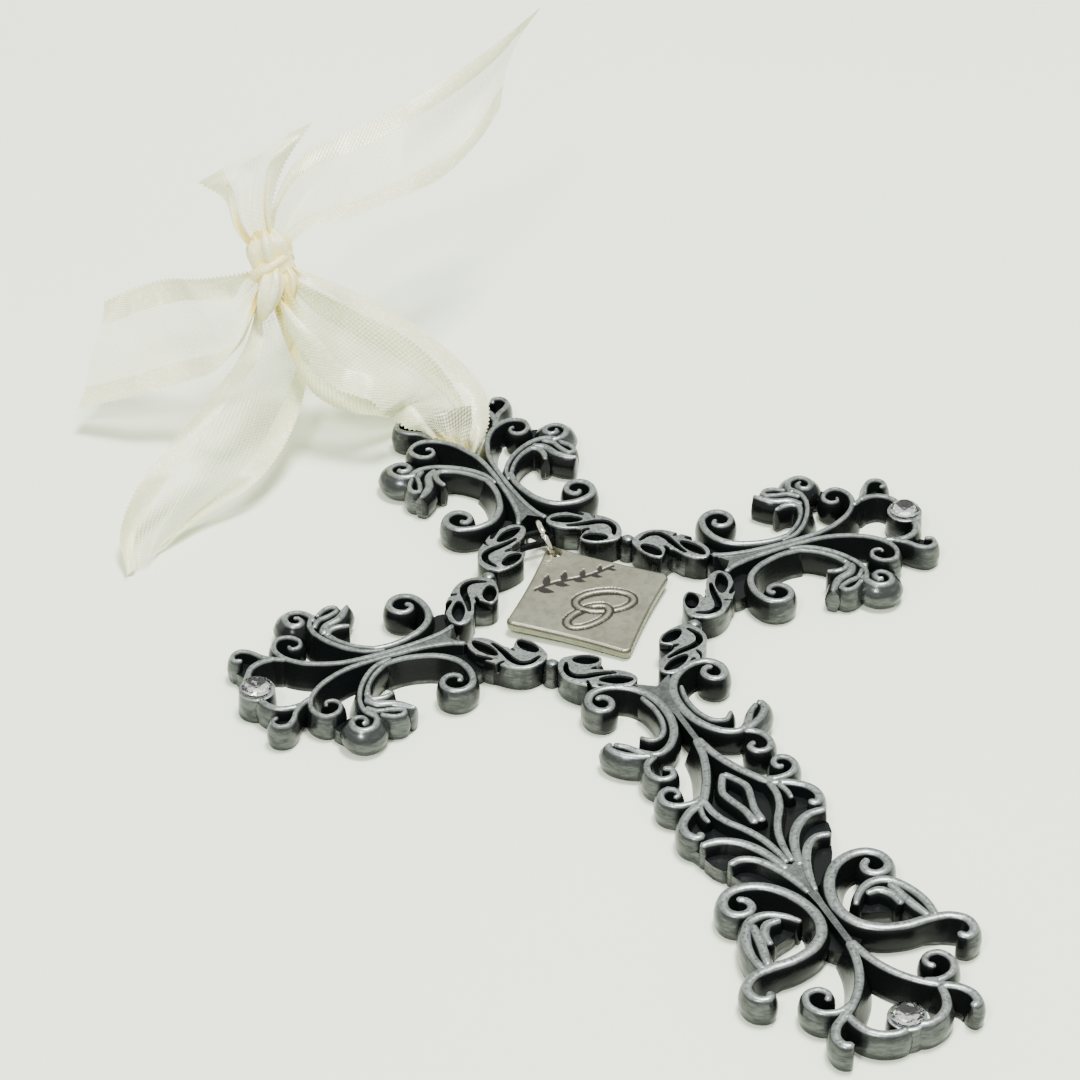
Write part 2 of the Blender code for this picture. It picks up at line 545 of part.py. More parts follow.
def bar_offset():
    """From the link ring's middle to the bar inside it."""
    free = LINK_RING_RADIUS - LINK_RING_WIRE / 2 - LINK_RING_PLAY - EYELET_BAR / math.sqrt(2)
    return ring_direction(BAR_ANGLE) * free


def build_eyelet_bar(shop):
    """The bar between the two upper links, which the link ring goes round."""
    across, half = EYELET_REACH * SQUARE, EYELET_BAR / 2
    middle = EYELET_PLACE * SQUARE
    height = link_ring_middle().z + bar_offset().z
    outline = [(-across, middle - half), (across, middle - half), (across, middle + half), (-across, middle + half)]
    return slab("eyelet_bar", outline, height - half, height + half, shop)


def build_stone(name, place, parts):
    """A round cut stone whose girdle rests over the rim of its seat."""
    girdle = CAST_DEPTH + CLEARANCE
    radius = STONE_DIAMETER / 2
    table = girdle + STONE_CROWN
    profile = [(0.0, table), (radius * STONE_TABLE, table), (radius, girdle + STONE_BAND),
               (radius, girdle), (0.0, girdle - STONE_PAVILION)]
    mesh = bpy.data.meshes.new(name)
    mesh.from_pydata([(x, 0.0, z) for x, z in profile], [(i, i + 1) for i in range(len(profile) - 1)], [])
    made = bpy.data.objects.new(name, mesh)
    made.location = (place.x, place.y, 0.0)
    parts.objects.link(made)
    screw = made.modifiers.new("turn", "SCREW")
    screw.steps = screw.render_steps = STONE_SIDES
    screw.use_merge_vertices = True
    screw.merge_threshold = MERGE
    return made


def tag_outline():
    """A square tag seen flat, with hollowed sides and rounded corners, its corner towards +y."""
    outline = []
    for quarter in range(4):
        ahead = Vector((math.cos(math.pi / 2 * (quarter + 1)), math.sin(math.pi / 2 * (quarter + 1))))
        after = Vector((math.cos(math.pi / 2 * (quarter + 2)), math.sin(math.pi / 2 * (quarter + 2))))
        heart = ahead * (TAG_REACH - TAG_ROUNDING * math.sqrt(2))
        start = math.atan2(ahead.y, ahead.x)
        for step in range(-2, 3):
            angle = start + TAG_CORNER_STEP * step
            outline.append(heart + TAG_ROUNDING * Vector((math.cos(angle), math.sin(angle))))
        inward = -(ahead + after) * TAG_REACH * TAG_WAIST
        for step in range(1, 6):
            share = step / 6
            bow = inward * math.sin(math.pi * share)
            straight = ahead.lerp(after, TAG_EDGE_START + (1 - 2 * TAG_EDGE_START) * share) * TAG_REACH
            outline.append(straight + bow)
    return outline


def build_tag(shop, parts):
    """The tag: a plate that leans from the table up to the link ring, which goes through its upper corner."""
    plate = slab("tag", tag_outline(), -TAG_THICKNESS / 2, TAG_THICKNESS / 2, shop)
    hole_up = TAG_REACH - TAG_HOLE / 2 - TAG_HOLE_WALL
    hole = cylinder("hole", Vector((0.0, hole_up)), TAG_HOLE / 2, -TAG_THICKNESS, TAG_THICKNESS, shop, sides=16)
    plate = combine(plate, [hole], "DIFFERENCE", parts)
    tidy_flats(plate)
    plate.name = "charm"
    hung = link_ring_middle() + ring_direction(TAG_ANGLE) * LINK_RING_RADIUS
    tilt = math.asin((hung.z - TAG_THICKNESS / 2 - REST_GAP) / (hole_up + TAG_REACH))
    turned = Matrix.Rotation(TAG_TURN, 4, "Z") @ Matrix.Rotation(tilt, 4, "X")
    plate.matrix_world = Matrix.Translation(hung) @ turned @ Matrix.Translation((0.0, -hole_up, 0.0))
    return plate


def build_link_ring(shop, parts):
    """The ring that joins the tag to the eyelet bar, leaning a little to one side."""
    ring = bpy.data.curves.new("ring", "CURVE")
    ring.dimensions = "3D"
    ring.bevel_depth = LINK_RING_WIRE / 2
    ring.bevel_resolution = 1
    spline = ring.splines.new("POLY")
    spline.points.add(LINK_RING_SIDES - 1)
    for index, knot in enumerate(spline.points):
        out = ring_direction(math.tau * index / LINK_RING_SIDES)
        knot.co = (*(link_ring_middle() + out * LINK_RING_RADIUS), 1.0)
    spline.use_cyclic_u = True
    made = bpy.data.objects.new("jump_ring", ring)
    shop.objects.link(made)
    return as_mesh(made, parts)


def band(name, rows, target):
    """A stretch of ribbon between two edges, each row giving a point on either edge, in metres."""
    edges = [smooth_path([Vector(row[side]) for row in rows], per_span=2) for side in (0, 1)]
    work = bmesh.new()
    grid = [[work.verts.new(edge[index]) for edge in edges] for index in range(len(edges[0]))]
    for row, after in zip(grid, grid[1:]):
        work.faces.new((row[0], row[1], after[1], after[0]))
    mesh = bpy.data.meshes.new(name)
    work.to_mesh(mesh)
    work.free()
    made = bpy.data.objects.new(name, mesh)
    target.objects.link(made)
    thick = made.modifiers.new("thick", "SOLIDIFY")
    thick.thickness = RIBBON_THICKNESS
    thick.offset = 0.0
    return as_mesh(made, target)


def build_ribbon(shop, parts):
    """The ribbon: a loop round the upper arm's bail, a knot, and four short tails."""
    work = bmesh.new()
    bmesh.ops.create_uvsphere(work, u_segments=10, v_segments=7, radius=KNOT_WIDTH / 2)
    mesh = bpy.data.meshes.new("knot")
    work.to_mesh(mesh)
    work.free()
    knot = bpy.data.objects.new("knot", mesh)
    knot.matrix_world = Matrix.Translation(ribbon_place(KNOT_PLACE)) @ Matrix.Rotation(KNOT_TURN, 4, "X")
    shop.objects.link(knot)
    knot = as_mesh(knot, shop)
    bands = [band("hanger", hanger_rows(), shop)]
    for name, rows in RIBBON_TAILS.items():
        bands.append(band(name, [[ribbon_place(p) for p in row] for row in rows], shop))
    ribbon = combine(knot, bands, "UNION", parts)
    ribbon.name = "ribbon"
    return ribbon


def ribbon_place(point):
    """A drawn point of the ribbon, in metres. The drawing moves with the upper arm's end."""
    return Vector(point) * RIBBON_SQUARE + Vector((0.0, ARM_REACH - ARM_SQUARES * RIBBON_SQUARE, 0.0))


def hanger_rows():
    """The rows of the hanging loop: down over the bail, through the tip's opening and back underneath."""
    over = CAST_DEPTH + CLEARANCE + RIBBON_THICKNESS
    rows = [[ribbon_place(point) for point in row] for row in HANGER_UPPER]
    for right, left, share in HANGER_BAIL:
        height = RIBBON_THICKNESS + share * (over - RIBBON_THICKNESS)
        level = Vector((0.0, 0.0, height))
        rows.append([ribbon_place((*right, 0.0)) + level, ribbon_place((*left, 0.0)) + level])
    return rows + [[ribbon_place(point) for point in row] for row in HANGER_LOWER]


def main():
    """Build every piece and give it its material."""
    clear_scene()
    parts = collection("wall_cross")
    shop = collection("workshop")
    cast = material("cast_metal", (0.23, 0.25, 0.24), 0.38, 1.0)
    pewter = material("tag_metal", (0.44, 0.43, 0.36), 0.42, 1.0)
    bright = material("ring_metal", (0.7, 0.68, 0.6), 0.2, 1.0)
    glass = material("stone_glass", (1.0, 1.0, 1.0), 0.02, 0.0, transmission=1.0)
    cloth = material("ribbon_cloth", (0.82, 0.8, 0.6), 0.6, 0.0)
    finished = {
        build_cross(shop, parts): cast,
        build_tag(shop, parts): pewter,
        build_link_ring(shop, parts): bright,
        build_ribbon(shop, parts): cloth,
    }
    for name, place in stone_places().items():
        finished[build_stone(name, place, parts)] = glass
    frame = bpy.data.objects.new("cross_frame", None)
    frame.location.y = ORIGIN_DOWN * SQUARE
    parts.objects.link(frame)
    for piece, finish in finished.items():
        piece.data.materials.clear()
        piece.data.materials.append(finish)
        piece.parent = frame
    bpy.data.collections.remove(shop)


main()
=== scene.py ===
"""The looks of the filigree wall cross: casting, stones, tag, link ring and ribbon.

The casting is drawn flat in squares of one millimetre about the middle of the cross, as in the CAD drawing:
x runs along the right arm and y along the upper arm. Heights are in metres above the table, at z = 0.
"""

import math

import bmesh
import bpy
from mathutils import Matrix, Vector
from mathutils.bvhtree import BVHTree


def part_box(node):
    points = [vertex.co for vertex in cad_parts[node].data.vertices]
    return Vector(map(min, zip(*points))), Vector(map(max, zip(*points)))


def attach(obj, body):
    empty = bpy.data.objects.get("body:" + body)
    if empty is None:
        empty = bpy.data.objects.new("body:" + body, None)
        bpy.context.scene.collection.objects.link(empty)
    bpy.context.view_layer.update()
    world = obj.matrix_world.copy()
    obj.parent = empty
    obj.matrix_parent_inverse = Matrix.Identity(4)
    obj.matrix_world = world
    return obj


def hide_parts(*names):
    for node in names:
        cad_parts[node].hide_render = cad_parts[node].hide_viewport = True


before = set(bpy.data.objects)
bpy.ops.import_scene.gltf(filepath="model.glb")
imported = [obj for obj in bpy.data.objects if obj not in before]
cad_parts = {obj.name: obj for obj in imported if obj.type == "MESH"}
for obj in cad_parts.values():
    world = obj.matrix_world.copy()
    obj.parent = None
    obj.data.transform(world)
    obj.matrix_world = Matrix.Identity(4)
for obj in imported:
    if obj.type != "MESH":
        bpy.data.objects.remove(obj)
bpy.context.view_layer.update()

MM = 0.001
SQUARE = 1.0 * MM
cross_low, cross_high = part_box("cross")
right_low, right_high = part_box("crystal_right")
foot_low, foot_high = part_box("crystal_foot")

# Sizes read from the frame
CAST_TOP = cross_high.z
MIDDLE = Vector((0.0, (right_low.y + right_high.y) / 2, 0.0))
ARM_REACH = (right_low.x + right_high.x) / 2
FOOT_REACH = MIDDLE.y - (foot_low.y + foot_high.y) / 2
STONE_RADIUS = (right_high.x - right_low.x) / 2

# Sizes of the looks
FLOOR_DEPTH = 1.9 * MM
WALL_DRAFT = 0.16 * MM       # how much further out an upright post stands at its foot than at its top
WALL_BULGE = 0.42 * MM       # how far a rib's outer wall bulges below its top
BOWL_DRAFT = 0.95 * MM       # how far a side that faces a hollow spreads toward its foot
BOWL_TURN = 0.08             # share of a rib's length over which a side turns from the one to the other
ARM_WIDEN = 0.84
STEM_WIDEN = 1.22
RIB_STEP = 0.34 * MM         # run between two sections of a rib
RIB_SWELL = 0.7
SEAT_WALL = 0.3 * MM
WEB_DROP = 0.24 * MM         # how far the flat webs lie below the ribs' tops
SEAT_BORE_DEPTH = 1.9 * MM
LINK_HOLLOW_DEPTH = 1.5 * MM
LINK_BASE_TOP = 2.3 * MM     # height of the dark step under a link's notches
BAIL_LIFT = 1.0 * MM
MERGE = 1e-6
DOME_ANGLES = (0.4, 0.8, 1.2)  # radians up the rounded top of a post at which it has a ring

# Half of a side arm: (squares out, squares to the side), then widths at start, middle, end
ARM_RIBS = {
    "scroll": ([(20.9, 8.2), (20.3, 7.6), (20.7, 6.9), (21.6, 6.7), (22.55, 7.4), (22.75, 8.5),
                (22.0, 9.55), (20.8, 9.8), (19.5, 9.1), (18.9, 7.6), (18.9, 5.9), (19.6, 4.1),
                (21.2, 2.7), (23.4, 1.85), (25.6, 1.5), (27.8, 1.7)], (0.7, 1.05, 0.9)),
    "leaf_stem": ([(26.4, 0.9), (28.6, 1.5), (30.4, 2.9), (32.0, 5.0), (32.9, 7.2), (32.9, 8.9),
                   (32.1, 10.3)],
                  (0.6, 0.8, 0.9)),
    "leaf_inner": ([(27.2, 1.5), (29.4, 3.0), (30.8, 4.6), (31.7, 6.4)], (0.6, 0.6, 1.1)),
    "leaf_prong": ([(31.8, 6.0), (31.2, 7.0), (30.0, 7.3), (28.5, 6.9)], (1.1, 0.9, 0.4)),
    "leaf_tip": ([(32.1, 6.6), (31.2, 8.0), (29.2, 8.8), (27.3, 10.7)], (1.2, 1.1, 0.4)),
    "leaf_back": ([(32.7, 8.2), (31.5, 9.4), (30.1, 9.7), (28.7, 10.4), (29.0, 11.1), (30.1, 11.1),
                   (31.6, 10.1)],
                  (0.8, 0.7, 0.6)),
    "lobe": ([(32.2, 9.3), (32.3, 10.7), (33.1, 11.8), (34.3, 12.0), (35.1, 11.2), (35.0, 10.0), (34.2, 9.5),
              (33.5, 10.0), (33.7, 10.8), (34.2, 10.9)], (0.85, 0.8, 0.5)),
    "branch": ([(17.2, 1.9), (18.6, 1.25), (21.0, 0.72), (24.5, 0.42), (28.5, 0.38), (31.6, 0.6), (34.0, 1.3),
                (36.4, 2.6), (38.0, 4.4), (38.4, 6.4), (37.4, 7.9), (35.9, 7.7), (35.1, 6.5), (35.6, 5.5),
                (36.5, 5.5), (36.7, 6.2)], (0.8, 0.85, 0.5)),
    "tip_hook": ([(37.8, 3.9), (39.3, 4.7), (40.3, 5.6), (41.1, 6.8), (42.2, 7.6), (43.3, 7.2), (43.5, 6.2),
                  (42.6, 5.8)], (0.9, 0.8, 0.6)),
}
ARM_FLOORS = {
    "root": [(16.6, 1.4), (18.6, 1.0), (20.4, 2.6), (18.9, 5.4), (16.9, 6.0), (15.8, 4.5)],
    "leaf": [(28.4, 10.6), (29.6, 8.7), (30.2, 7.2), (31.0, 6.4), (30.9, 4.4), (31.8, 4.8), (32.6, 7.0),
             (32.2, 10.0), (30.2, 11.1)],
    "lobe": [(32.0, 9.6), (32.0, 11.6), (33.3, 12.6), (35.0, 12.2), (35.8, 10.8), (36.9, 8.8),
             (36.4, 7.8), (34.6, 8.6)],
    "tip": [(39.6, 4.7), (41.1, 6.9), (42.4, 7.6), (43.6, 6.8), (43.2, 4.4), (42.0, 4.2)],
}
TIP_RING = ([(39.0, 4.6), (40.6, 4.7), (42.0, 4.2), (42.9, 3.1), (43.2, 1.7), (43.0, 0.0)], (0.8, 0.8, 1.1))
ARM_SQUARES = TIP_RING[0][-1][0]
ARM_WEB = [(17.0, 2.2), (18.7, 0.0), (17.0, -2.2), (19.5, -1.1), (25.0, -0.3), (25.0, 0.3), (19.5, 1.1)]

# One ring link beside the right arm: its top plate, its darker step, then the hollows cut in the top
LINK_PLATE = [(16.4, 1.5), (15.2, 1.8), (14.1, 2.9), (13.2, 4.7), (12.5, 5.0), (12.0, 4.4), (11.3, 3.8),
              (10.3, 4.4), (9.6, 5.8), (9.3, 7.2), (9.35, 8.1), (10.1, 8.9), (11.2, 9.35), (12.5, 9.4),
              (14.0, 8.7), (15.3, 7.4), (16.6, 5.8), (17.1, 4.2), (17.3, 2.6)]
LINK_HOLLOWS = [
    ([(16.4, 2.0), (16.0, 3.2), (15.4, 4.5), (14.8, 5.8)], (0.3, 1.65, 0.3)),
    ([(14.5, 3.3), (14.1, 4.5), (13.8, 5.9), (13.6, 7.1), (13.0, 8.2), (11.8, 8.55), (10.2, 7.9)],
     (0.35, 0.95, 0.35)),
    ([(11.4, 4.1), (11.1, 5.1), (10.6, 6.1), (10.1, 7.1)], (0.4, 1.75, 0.5)),
    ([(14.4, 7.1), (15.2, 7.25), (16.4, 7.2)], (0.2, 0.5, 0.7)),
]
LINK_NOTCHES = [
    ([(12.6, 5.8), (12.7, 5.0), (12.6, 3.6)], (0.25, 0.6, 1.3)),
    ([(15.6, 6.3), (16.5, 5.5), (17.4, 4.6)], (0.3, 0.7, 1.0)),
]
LINK_STEP = [(14.1, 2.9), (13.2, 4.3), (12.2, 3.9), (11.3, 3.8), (10.3, 4.4), (12.0, 6.0), (15.5, 7.0),
             (16.8, 5.6), (17.1, 4.2), (16.0, 3.0)]
BEAD_PLACE = (9.35, 9.35)
BEAD_RADIUS = 0.95
BEAD_TOP = CAST_TOP - 0.1 * MM
BEAD_CROWN = 0.6 * MM

KNOBS = {"lobe": 2.9, "leaf_tip": 1.8}        # ribs whose outer walls bulge this many times as far

# Half of the long arm: (squares to the side, squares down)
STEM_RIBS = {
    "scroll": ([(7.6, 17.9), (6.8, 17.7), (6.1, 18.5), (6.4, 19.6), (7.4, 20.1), (8.4, 19.4), (8.6, 18.0),
                (7.7, 16.7), (6.1, 16.3), (4.4, 16.7), (2.7, 17.9), (1.5, 19.8), (1.0, 22.3), (1.2, 25.0),
                (2.2, 27.5), (3.8, 29.2), (5.4, 29.7), (6.8, 28.7), (8.0, 27.1), (9.2, 26.1)],
                (0.6, 0.9, 0.5)),
    "scroll_leaf": ([(2.6, 19.6), (2.1, 22.0), (2.3, 24.8), (3.3, 26.8), (4.7, 27.3), (5.9, 26.2)],
                     (0.4, 0.55, 0.4)),
    "leaf_tip": ([(5.6, 29.8), (7.4, 29.2), (8.9, 28.2), (9.8, 27.0), (9.9, 26.2), (9.3, 25.9)],
                  (0.8, 0.7, 0.5)),
    "fork": ([(0.1, 29.0), (0.6, 32.0), (1.5, 34.6), (2.8, 37.2), (4.4, 39.4), (6.4, 40.4), (8.0, 42.0),
              (8.3, 43.6), (7.4, 44.7), (6.7, 44.0)], (0.8, 0.9, 0.8)),
    "upper_curl": ([(5.6, 29.8), (7.2, 31.0), (7.6, 32.8), (6.7, 34.0), (5.4, 33.9), (5.0, 32.8),
                    (5.9, 32.3)],
                   (0.8, 0.7, 0.6)),
    "lower_curl": ([(3.9, 38.7), (5.6, 39.1), (7.3, 38.8), (8.3, 37.6), (8.0, 36.3), (7.0, 35.8), (6.2, 36.4),
                    (6.3, 37.3), (7.0, 37.5)], (0.8, 0.7, 0.4)),
    "diamond": ([(0.0, 35.9), (0.8, 37.2), (1.5, 38.9), (1.1, 40.8), (0.6, 42.6), (0.4, 45.2)],
                 (0.6, 0.7, 0.9)),
    "arc": ([(4.1, 39.0), (4.0, 41.6), (3.3, 43.6), (2.1, 45.5), (1.1, 47.6), (0.5, 50.2), (0.3, 52.6)],
            (0.7, 0.8, 0.6)),
    "stub": ([(4.9, 39.8), (5.3, 41.6), (5.2, 43.0)], (0.7, 0.5, 0.3)),
    "upper_plume": ([(7.9, 46.1), (5.8, 46.1), (3.9, 47.1), (2.4, 48.9), (1.5, 51.0), (0.8, 53.6)],
                    (0.7, 1.0, 0.8)),
    "lower_plume": ([(6.4, 50.2), (4.8, 49.9), (3.3, 50.7), (2.1, 52.4), (1.1, 54.8), (0.4, 58.0)],
                    (0.7, 0.9, 0.5)),
    "heart": ([(8.2, 55.6), (7.3, 56.2), (7.1, 57.2), (7.8, 58.0), (9.0, 58.0), (9.9, 57.1), (9.8, 55.6),
               (8.7, 54.4), (6.9, 54.1), (4.6, 54.9), (2.7, 56.9), (1.6, 59.5), (1.4, 62.1), (2.3, 64.4),
               (4.2, 66.0), (6.8, 66.8), (9.6, 66.9), (12.0, 67.4), (13.4, 68.7), (13.3, 70.4), (12.1, 71.1),
               (11.3, 70.2)], (0.7, 1.1, 0.8)),
    "heart_leaf": ([(3.3, 61.8), (4.6, 60.2), (6.6, 59.1), (8.6, 59.5), (10.0, 61.6), (10.7, 64.4),
                    (10.5, 67.0)],
                   (0.4, 0.9, 0.7)),
    "heart_prong": ([(5.2, 60.6), (6.9, 60.6), (7.9, 62.0), (8.0, 63.8)], (0.5, 0.9, 0.5)),
    "heart_vein": ([(8.4, 60.0), (8.9, 63.0), (9.8, 66.6)], (0.7, 0.9, 0.6)),
    "foot_fork": ([(0.1, 66.6), (0.8, 70.0), (2.2, 73.0), (4.2, 75.4), (6.0, 76.8), (7.4, 77.8), (8.2, 79.2),
                   (8.0, 80.6), (7.0, 81.0)], (0.8, 0.9, 0.9)),
    "foot_curl": ([(4.2, 75.3), (6.2, 75.9), (8.0, 75.2), (8.7, 73.6), (8.0, 72.1), (6.6, 72.0), (5.9, 73.0),
                   (6.6, 74.0)], (0.8, 0.7, 0.6)),
    "foot_ring": ([(5.6, 76.5), (5.3, 78.4), (4.5, 80.0), (3.1, 81.0), (1.2, 81.2), (0.0, 79.6)],
                  (0.7, 0.9, 0.9)),
}
FOOT_SQUARES = STEM_RIBS["foot_ring"][0][-1][1]
STEM_FLOORS = {
    "leaf": [(5.0, 29.6), (6.8, 28.4), (9.3, 26.2), (9.6, 27.2), (8.4, 28.8), (6.6, 29.8)],
    "diamond": [(0.0, 36.4), (4.4, 39.4), (3.6, 43.4), (1.6, 46.8), (0.0, 51.0)],
    "plume": [(5.2, 40.2), (7.9, 42.2), (7.8, 46.2), (5.8, 46.4), (3.4, 47.6), (2.0, 50.0), (0.6, 50.6),
              (2.6, 45.2), (3.9, 43.0)],
    "lower_plume": [(7.6, 46.3), (6.8, 49.6), (4.4, 50.0), (2.4, 51.6), (1.2, 53.4), (2.4, 49.4),
                    (4.2, 47.2)],
    "drop": [(6.2, 50.2), (5.2, 52.8), (3.4, 54.6), (1.6, 56.2), (2.4, 52.6), (4.0, 50.4)],
    "heart_root": [(0.0, 56.4), (2.0, 58.4), (1.7, 62.0), (2.4, 64.9), (0.6, 67.4), (0.0, 67.8)],
    "heart": [(3.6, 61.6), (7.0, 59.2), (9.4, 60.8), (10.7, 64.4), (10.4, 66.6), (8.6, 66.4), (8.0, 63.6)],
}
# The sides of each rib, along its path, that face a hollow: (up to this share of its length, these sides)
BOWL_SIDES = {
    "arm": {
        "scroll": [(1.0, "L")], "leaf_stem": [(1.0, "LR")], "branch": [(0.7, "LR"), (1.0, "L")],
        "lobe": [(1.0, "R")],
        "tip_hook": [(1.0, "R")], "tip": [(1.0, "R")],
    },
    "stem": {
        "scroll": [(0.78, "L"), (1.0, "")], "fork": [(0.6, "LR"), (1.0, "R")], "heart": [(0.8, "L"),
        (1.0, "R")],
        "foot_fork": [(0.6, "LR"), (1.0, "R")], "foot_ring": [(1.0, "R")], "foot_curl": [(1.0, "L")],
        "upper_curl": [(1.0, "R")], "lower_curl": [(1.0, "L")], "arc": [(1.0, "LR")],
        "upper_plume": [(0.2, ""), (1.0, "LR")], "lower_plume": [(0.2, ""), (1.0, "LR")],
    },
}
STEM_WEBS = [
    [(-2.4, 16.9), (0.0, 18.5), (2.4, 16.9), (1.2, 19.6), (0.35, 24.0), (0.35, 30.0), (-0.35, 30.0),
    (-0.35, 24.0), (-1.2, 19.6)],
    [(-1.5, 52.0), (0.0, 53.0), (1.5, 52.0), (0.7, 56.6), (0.4, 60.0), (0.4, 67.6), (-0.4, 67.6),
    (-0.4, 60.0), (-0.7, 56.6)],
]
ROOT_SQUARES = 17.0

# Half of a rib's section, from its foot to its middle: share of the half width, then of the bowl's spread,
# then of the wall's bulge, and the height below the top
RIB_SECTION = [(1.0, 1.0, 0.45, None), (1.0, 0.75, 0.85, 2.6 * MM), (1.0, 0.5, 1.0, 1.8 * MM),
               (1.0, 0.18, 0.72, 0.95 * MM), (1.0, 0.04, 0.3, 0.45 * MM), (0.92, 0.0, 0.04, 0.2 * MM),
               (0.62, 0.0, 0.0, 0.05 * MM), (0.0, 0.0, 0.0, 0.0)]
GROOVE_SECTION = [(1.12, 0.0, 0.0, -0.4 * MM), (1.0, 0.0, 0.0, 0.1 * MM), (0.8, 0.0, 0.0, 0.75),
                  (0.4, 0.0, 0.0, 0.97), (0.0, 0.0, 0.0, 1.0)]
NOSE_STEPS = (0.0, 0.12, 0.35, 0.65)  # shares of the half width at which a rib's rounded end has a section


# The stones
STONE_BAND = 0.11 * MM
STONE_PAVILION = 1.2 * MM

# The tag and its link ring, as in the CAD drawing. Angles go round the ring from its point nearest the tag
REST_GAP = 0.1 * MM
TAG_ROOM = 3.5 * MM
TAG_THICKNESS = 1.3 * MM
TAG_FACE = TAG_THICKNESS / 2 - 0.2 * MM      # its face and marks lie above this height
TAG_ROUNDING = 1.0 * MM
TAG_HOLE = 2.2 * MM
TAG_HOLE_WALL = 0.75 * MM
LINK_RING_WIRE = 0.7 * MM
LINK_RING_RADIUS = 2.45 * MM
LINK_RING_PLAY = 0.2 * MM
LINK_RING_ASIDE = 0.2 * MM
LINK_RING_AXIS = Vector((0.928, -0.132, 0.351)).normalized()
EYELET_BAR = 0.7 * MM
EYELET_PLACE = 14.3
EYELET_TOP = 2.21 * MM
EYELET_BULGING = 0.1
EYELET_LOOP = [(-3.6, 0.0), (-1.4, 0.0), (0.2, 0.0), (1.3, 0.3), (1.8, 1.1), (1.2, 1.9), (0.0, 2.15),
               (-1.6, 2.15), (-3.0, 2.0)]  # squares to the side, and above the place where the ring hangs
BAR_ANGLE = math.radians(135)
TAG_ANGLE = math.radians(19)
TAG_TURN = math.radians(1.5)
TAG_WAIST = 0.018
TAG_REACH = min(out + side for out, side in LINK_PLATE) * SQUARE - TAG_ROOM
TAG_GRID = 150               # squares along the tag's side
TAG_EDGE_ROUND = 0.42 * MM
TAG_SIDE = [(-0.02 * MM, -0.002), (-0.08 * MM, 0.006), (-0.14 * MM, -0.002), (-0.45 * MM, 0.004),
            (-TAG_THICKNESS / 2, 0.03)]  # the side below the face: height, and how far in
RING_SPLIT_ANGLE = math.radians(-62)
RING_SPLIT = math.radians(4)
RING_STEPS = 72
SPRIG_START, SPRIG_END = 3.9 * MM, 4.0 * MM
SPRIG_LEFT = -5.4 * MM
SPRIG_LENGTH = 11.0 * MM
SPRIG_WAVE = 0.25 * MM
SPRIG_LEAF_SPREAD = 46        # degrees between a leaf and the stem
TAG_OVALS = [                # centre, half its length, half its width, and how it is turned
    (Vector((1.55, -1.4)) * MM, 3.55 * MM, 1.85 * MM, math.radians(-17)),
    (Vector((-1.55, -3.15)) * MM, 2.95 * MM, 1.45 * MM, math.radians(9)),
]
OVAL_BAND = 0.62 * MM
OVAL_LINE = 0.27 * MM
TAG_CROSSING = Vector((-0.2, -2.6)) * MM     # between the two places where the ovals cross
TAG_CROSSING_WAY = Vector((-0.75, 0.66))


def sprig_line(share):
    """How high on the tag the sprig's stem runs, at a share of its length."""
    return SPRIG_START + (SPRIG_END - SPRIG_START) * share + SPRIG_WAVE * math.sin(7.0 * share)


def sprig_leaves():
    """The leaves of the tag's sprig: where each starts, the way it points and its length."""
    leaves = []
    for index in range(9):
        share = 0.04 + 0.108 * index
        root = Vector((SPRIG_LEFT + SPRIG_LENGTH * share, sprig_line(share)))
        turn = math.radians(8 + (SPRIG_LEAF_SPREAD if index % 2 else -SPRIG_LEAF_SPREAD))
        leaves.append((root, Vector((math.cos(turn), math.sin(turn))), (2.3 - 1.1 * share) * MM))
    return leaves


SPRIG_LEAVES = sprig_leaves()

# The ribbon, in millimetres from the middle of the cross and above the table. A row is a point on either
# edge, and how far the cloth bows up between them
RIBBON_WIDTH = 15.0 * MM
SATIN_BORDER = 3.3
CLOTH_REST = 0.25 * MM
KNOT_PLACE = (-18.2, 57.4, 22.0)
KNOT_AXIS = Vector((0.08, 0.56, 0.83))
KNOT_NECK = [(-3.2, 0.3), (-1.2, 0.1), (0.6, 0.0), (2.6, -0.1), (4.6, -0.2)]
KNOT_NECK_RADII = [(0.0, 0.5), (1.0, 1.6), (2.0, 2.1), (3.0, 2.3), (4.0, 1.1)]
KNOT_WRAP_SLANT = -0.42
KNOT_WRAP_UP = -0.3 * MM
KNOT_WRAP_REACH = 1.65 * MM
KNOT_WRAP_THICK = 1.1 * MM
KNOT_WRAP_WIDE = 1.1         # how much wider than deep the wrap's loop is
KNOT_WRAP_SWELL = 0.16
KNOT_TURN_STEPS = 9
